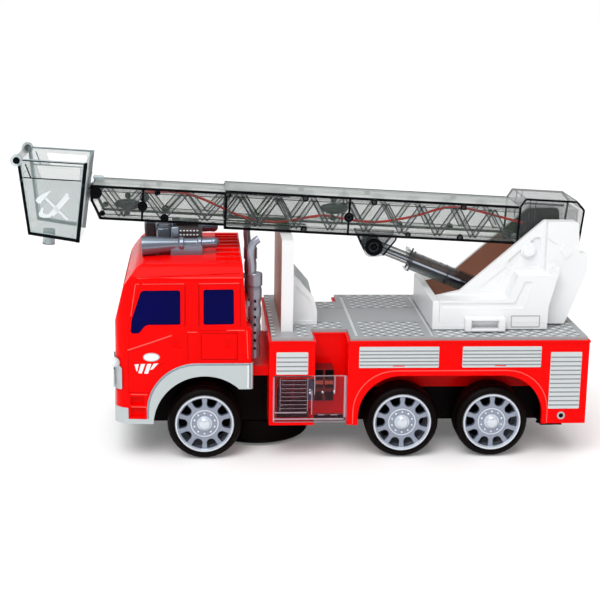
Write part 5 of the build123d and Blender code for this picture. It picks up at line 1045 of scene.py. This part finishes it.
PIPE_ROUTE = ((-26.6, 105.0), (-26.6, 109.0), (-26.0, 113.5), (-26.0, 118.5), (-27.0, 121.8), (-28.8, 123.8),
              (-30.4, 124.6))
for side, name in ((STACK_Y, "stack_pipe_left"), (-STACK_Y, "stack_pipe_right")):
    settle(smooth_tube(name, [(x, side, z) for x, z in PIPE_ROUTE], 2.2, PIPE_GREY), "exhaust_stacks")

SCREW_X, SCREW_Z, SCREW_R = -203.6, 25.2, 1.3
WASHER_PROFILE = ((2.4, -0.2), (2.3, 0.15), (SCREW_R, 0.15), (SCREW_R, -0.2))
screws, washers = bmesh.new(), bmesh.new()
add_turned(screws, ((SCREW_R, -0.2), (SCREW_R, 0.1), (0, 0.1)), SCREW_X, SCREW_Z, SIDE_Y, 16)
add_turned(washers, WASHER_PROFILE, SCREW_X, SCREW_Z, SIDE_Y, 20)
piece("body_screws", screws, BLACK, "body_shell")
piece("screw_washers", washers, STEEL, "body_shell", slot="chrome_plastic")

# ---- painted highlights on the arch's lip and the cab's trim, and painted dark reflection on the trim


def quarter(middle, radius, start):
    """Points of a quarter circle of a side view, from a start in degrees on."""
    return [Vector(middle) + on_circle(radius, radians(turn)) for turn in range(start, start + 91, 10)]


ARCH_FRONT_X, ARCH_REAR_X, ARCH_TOP_Z, ARCH_ROUND = -83.7, -195.3, 52.3, 24.0    # middle of the lip's line
ARCH_TURN_Z, ARCH_END_Z = ARCH_TOP_Z - ARCH_ROUND, 21.0
arch_line = [(ARCH_FRONT_X, ARCH_END_Z), *quarter((ARCH_FRONT_X - ARCH_ROUND, ARCH_TURN_Z), ARCH_ROUND, 0),
             *quarter((ARCH_REAR_X + ARCH_ROUND, ARCH_TURN_Z), ARCH_ROUND, 90), (ARCH_REAR_X, ARCH_END_Z)]
# The arch's lip gets a painted highlight along its edge
lips = bmesh.new()
add_path(lips, arch_line, 0.6, SIDE_Y, SIDE_Y + 0.65)
piece("arch_lip_highlights", lips, RED_HIGHLIGHT, "body_shell", 0.15)

TRIM_MIDDLE, TRIM_BAND_R, TRIM_BAND_W = (4.3, 29.0), 27.4, 1.2
trim_line = [(TRIM_MIDDLE[0] + TRIM_BAND_R, 25.0), *quarter(TRIM_MIDDLE, TRIM_BAND_R, 0),
             (-25.6, TRIM_MIDDLE[1] + TRIM_BAND_R)]
TRIM_SKIN = SIDE_Y - 0.4, SIDE_Y + 0.22
# Bands along the trim's arch and rear edge get the painted dark reflection, and a white painted highlight runs
# beside the rear one
trims, trim_highlights = bmesh.new(), bmesh.new()
add_path(trims, trim_line, TRIM_BAND_W, *TRIM_SKIN)
add_line(trims, (-25.4, 42.6), (-25.4, 56.9), 0.9, *TRIM_SKIN)
add_line(trim_highlights, (-24.3, 42.6), (-24.3, 56.0), 0.8, *TRIM_SKIN)
piece("trim_dark_reflections", trims, TRIM_DARK_REFLECTION, "bumper_trim", 0.2)
piece("trim_painted_highlights", trim_highlights, WHITE, "bumper_trim", 0.2, slot="white_plastic")

# ---- turret: knob housings, outlined panels, elevation bosses and screws
# Blocks round the housing's slot, between its front and rear ends and its lower and upper edges
HOUSING_IN, HOUSING_OUT = 36.8, 43.0
FRONT, SLOT_FRONT, SLOT_REAR, REAR = -148.0, -151.6, -167.1, -171.1
LOW, SLOT_LOW, SLOT_HIGH, HIGH = 72.3, 73.9, 78.4, 80.0
HOUSING_BLOCKS = (
    (REAR, SLOT_REAR, LOW, HIGH), (SLOT_FRONT, FRONT, LOW, HIGH),
    (SLOT_REAR, SLOT_FRONT, SLOT_HIGH, HIGH), (SLOT_REAR, SLOT_FRONT, LOW, SLOT_LOW),
)
PANEL = ((-175.5, 73.6), (-175.5, 80.1), (-191.9, 80.1), (-191.9, 73.6), (-175.5, 73.6))
BOSS_PROFILE = ((3.2, -1.0), (3.2, 0.9), (2.6, 1.3), (1.7, 1.3), (1.6, 0.6), (0, 0.6))
BOSS_SCREW_PROFILE = ((1.5, 0.4), (1.5, 0.9), (1.1, 1.2), (0.4, 1.2), (0.4, 0.9), (0, 0.9))
housing, panel_lines, boss, screw = bmesh.new(), bmesh.new(), bmesh.new(), bmesh.new()
for x_low, x_high, z_low, z_high in HOUSING_BLOCKS:
    add_blocks(housing, (x_low, HOUSING_IN, z_low), (x_high, HOUSING_OUT, z_high))
add_path(panel_lines, PANEL, 0.5, 36.9, 37.15)
for work, profile, segments in ((boss, BOSS_PROFILE, 24), (screw, BOSS_SCREW_PROFILE, 16)):
    add_turned(work, profile, -186.6, 115.3, 22.4, segments)
piece("knob_housings", housing, WHITE, "turret_base", 0.35)
piece("console_panels", panel_lines, WHITE_SEAM, "turret_base")
piece("elevation_bosses", boss, WHITE, "turret_base")
piece("elevation_screws", screw, STEEL, "turret_base", slot="chrome_plastic")

# ---- underside: battery lid and screws
LID_FRONT, LID_REAR, LID_HALF_W, FLOOR_PAN_Z = -86.0, -150.0, 24.0, 16.2
lid = bmesh.new()
add_block(lid, (LID_REAR, -LID_HALF_W, FLOOR_PAN_Z - 0.8), (LID_FRONT, LID_HALF_W, FLOOR_PAN_Z + 0.2))
for row in range(9):        # the ribbed grip
    x = LID_FRONT - 6 - row * 2.0
    add_block(lid, (x - 0.5, -9, FLOOR_PAN_Z - 1.2), (x + 0.5, 9, FLOOR_PAN_Z - 0.7))
piece("battery_lid", lid, BLACK, "chassis_frame", 0.3)
UNDER_SCREWS = ((-82.0, 0), (-154.0, 0), (-195.0, 24.0), (-195.0, -24.0), (-195.0, 40.0), (-195.0, -40.0),
                (36.0, 22.0), (36.0, -22.0))
under = bmesh.new()
for x, y in UNDER_SCREWS:
    z = 17.5 if abs(y) > 30 else FLOOR_PAN_Z
    place = Matrix.Translation((x, y, z)) @ Matrix.Rotation(pi, 4, "X")
    add_lathe(under, ((2.6, -0.1), (2.6, 0.5), (1.9, 0.5), (1.7, -0.6), (0, -0.6)), place, 18)
piece("underside_screws", under, BLACK, "chassis_frame")

# ---- basket: its emblem, a crossed axe and hook, and the lines along its edges


def basket_side(side):
    """Place on the tub's side with X towards the toy's front, Y up and Z outwards."""
    stand = Matrix.Translation((83.1, side * 24.3, 138.2)) @ Matrix.Rotation(-side * BASKET_TILT, 4, "X")
    return IN_BASKET @ stand @ ACROSS_TOY @ Matrix.Diagonal((1, 1, -side, 1))


AXE_HEAD = ((10.6, 4.0), (9.6, 5.8), (6.6, 8.1), (2.3, 10.1), (3.8, 8.0), (4.7, 6.4), (6.0, 5.1), (7.0, 4.1),
            (7.8, 2.3), (9.3, 2.6))
HOOK = ((7.0, 0.3), (8.8, -3.6), (8.1, -5.1), (5.8, -5.7), (2.3, -5.3), (0.4, -2.4), (1.9, -2.2), (3.5, -3.4),
        (5.4, -3.6), (6.4, -2.7), (6.0, -0.6))
# Handles: first end, second end, width
HANDLES = (((5.1, 5.7), (-7.5, -6.1), 1.3), ((-7.5, 8.1), (1.5, -3.7), 3.0), ((-6.5, 9.3), (-8.4, 6.9), 0.7))
EMBLEM_OUT = 0.45
# Edges of a side of the tub: dark strips, and the bright lines beside them
TUB_DARK = (
    ((21.5, 27.1), (14.3, -16.05), (12.6, -16.05), (19.8, 27.1)),
    ((14.3, -16.05), (-14.4, -19.1), (-14.4, -17.2), (14.3, -14.2)),
    ((20.0, 26.6), (-16.0, 26.6), (-16.0, 26.0), (20.0, 26.0)),
    ((18.6, 16.9), (-15.6, 16.9), (-15.6, 16.3), (18.6, 16.3)),
    ((16.9, 24.3), (16.3, 24.3), (13.2, 16.9), (13.9, 16.9)),
    ((-17.5, 27.1), (-14.4, -19.1), (-12.3, -19.1), (-15.4, 27.1)),
)
TUB_BRIGHT = (
    ((19.5, 25.9), (12.5, -14.2), (12.0, -14.2), (19.0, 25.9)),
    ((-15.3, 25.9), (-12.3, -17.0), (-11.8, -17.0), (-14.8, 25.9)),
    ((12.5, -14.2), (-12.3, -16.9), (-12.3, -16.5), (12.5, -13.8)),
    ((20.0, 27.1), (-16.0, 27.1), (-16.0, 26.6), (20.0, 26.6)),
)


emblem, dark_edges, bright_edges = bmesh.new(), bmesh.new(), bmesh.new()
for side in (1, -1):
    place = basket_side(side)
    for points in TUB_DARK:
        back = add_plate(dark_edges, points, place, -0.2, 0.08)
        back.material_index = 2 if points is TUB_DARK[-1] else 1
    for points in TUB_BRIGHT:
        add_plate(bright_edges, points, place, -0.2, 0.10)
    ring_place = IN_BASKET @ outwards(104.6, 164.2, side * 27.1)
    add_lathe(bright_edges, ((3.3, -0.2), (3.3, 0.08), (2.0, 0.08), (2.0, -0.2)), ring_place, 24)
    add_lathe(dark_edges, ((1.95, -0.4), (1.95, -0.05), (0, -0.05)), ring_place, 20)
place = basket_side(1)      # the far side shows no emblem through the clear tub
add_plate(emblem, AXE_HEAD, place, -0.3, EMBLEM_OUT)
add_plate(emblem, HOOK, place, -0.3, EMBLEM_OUT)
for handle in HANDLES:
    add_plate(emblem, bar(*handle), place, -0.3, EMBLEM_OUT - 0.05)
piece("basket_emblem", emblem, EMBLEM, "basket_tub")
piece("basket_dark_edges", dark_edges, (SMOKE_EDGE, FAINT, FAINT_DARK), "basket_tub")
piece("basket_bright_edges", bright_edges, TUB_RIM, "basket_tub")

# ---- lead through the ladder
LEAD_ROUTE = (
    # along the ladder, above the hinge
    (222.3, 18.1), (213.7, 18.9), (204.5, 19.2), (195.2, 18.2), (181.9, 13.4), (167.4, 6.9), (152.5, 4.5),
    (142.7, 4.6), (131.7, 7.4), (119.0, 10.4), (106.6, 9.0), (96.4, 7.7), (86.0, 7.6), (72.9, 10.2), (62.5, 13.0),
    (48.1, 18.6), (38.0, 19.2), (29.7, 18.2), (13.8, 14.8), (-0.4, 11.9),
)
lead = smooth_tube("ladder_lead", [IN_LADDER @ Vector((along, 0, up)) for along, up in LEAD_ROUTE], 0.75, WIRE)
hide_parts("ladder_wire")
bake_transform(lead)

# ---- camera, floor and light
EYE = Vector((2.76, 812.6, 278.6))
RIGHT = Vector((-0.9975, 0.0691, 0.0154)).normalized()
BACK = RIGHT.cross(Vector((-0.0014, -0.2366, 0.9716))).normalized()
UP = BACK.cross(RIGHT).normalized()
camera = bpy.data.objects.new("camera", bpy.data.cameras.new("camera"))
camera.data.sensor_width = 36.0
camera.data.lens = 84.95
camera.data.clip_start = 0.05
camera.data.clip_end = 60.0
turn = Matrix((RIGHT, UP, BACK)).transposed().to_4x4()
turn.translation = TOY @ EYE
camera.matrix_world = turn
link(camera)
bpy.context.scene.camera = camera


def softbox(name, place, target, size, power):
    """A rectangular lamp turned towards a target."""
    lamp = bpy.data.lights.new(name, "AREA")
    lamp.shape = "RECTANGLE"
    lamp.size, lamp.size_y = size
    lamp.energy = power
    obj = link(bpy.data.objects.new(name, lamp))
    obj.location = place
    obj.rotation_euler = (Vector(target) - Vector(place)).to_track_quat("-Z", "Y").to_euler()


def even_light(name, towards, strength, softness):
    """Light that falls alike everywhere, from a wide soft source far away."""
    lamp = bpy.data.lights.new(name, "SUN")
    lamp.energy = strength
    lamp.angle = radians(softness)
    obj = link(bpy.data.objects.new(name, lamp))
    obj.rotation_euler = Vector(towards).to_track_quat("-Z", "Y").to_euler()


even_light("key", (-0.25, -0.65, -1.0), 1.7, 40.0)
even_light("top", (0.15, 0.25, -1.0), 0.9, 90.0)
softbox("window", (0.45, 0.85, 0.75), (0, 0, 0.08), (0.5, 0.7), 2.2)

world = bpy.data.worlds.new("studio")
bpy.context.scene.world = world
world.use_nodes = True
tree = world.node_tree
rays = add_node(tree, "LightPath")
seen = add_node(tree, "Math")
seen.operation = "MAXIMUM"
tree.links.new(rays.outputs["Is Camera Ray"], seen.inputs[0])
tree.links.new(rays.outputs["Is Transmission Ray"], seen.inputs[1])
strength = add_node(tree, "MapRange", To_Min=0.42, To_Max=1.0, Value=seen.outputs[0])
feed(tree, tree.nodes["Background"], Color=(1, 1, 1, 1), Strength=strength.outputs["Result"])

HALF_FLOOR = 6.0
floor_mesh = bpy.data.meshes.new("floor")
corners = [(x * HALF_FLOOR, y * HALF_FLOOR, 0) for x, y in ((-1, -1), (1, -1), (1, 1), (-1, 1))]
floor_mesh.from_pydata(corners, [], [(0, 1, 2, 3)])
floor = link(bpy.data.objects.new("floor", floor_mesh))
floor.location.z = -0.0002
paper, tree, shader = new_material("studio_floor")
feed(tree, shader, Base_Color=(0.86, 0.86, 0.86, 1), Roughness=0.9, Specular_IOR_Level=0.0)
lift = add_node(tree, "Math")
lift.operation = "MULTIPLY"
lift.inputs[1].default_value = 0.12
tree.links.new(add_node(tree, "LightPath").outputs["Is Camera Ray"], lift.inputs[0])
glow = add_node(tree, "Emission", Strength=lift.outputs[0])
both = add_node(tree, "AddShader")
tree.links.new(shader.outputs[0], both.inputs[0])
tree.links.new(glow.outputs[0], both.inputs[1])
tree.links.new(both.outputs[0], tree.nodes["Material Output"].inputs["Surface"])
floor_mesh.materials.append(paper)
floor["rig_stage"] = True

bpy.context.scene.view_settings.view_transform = "Standard"

low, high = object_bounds()
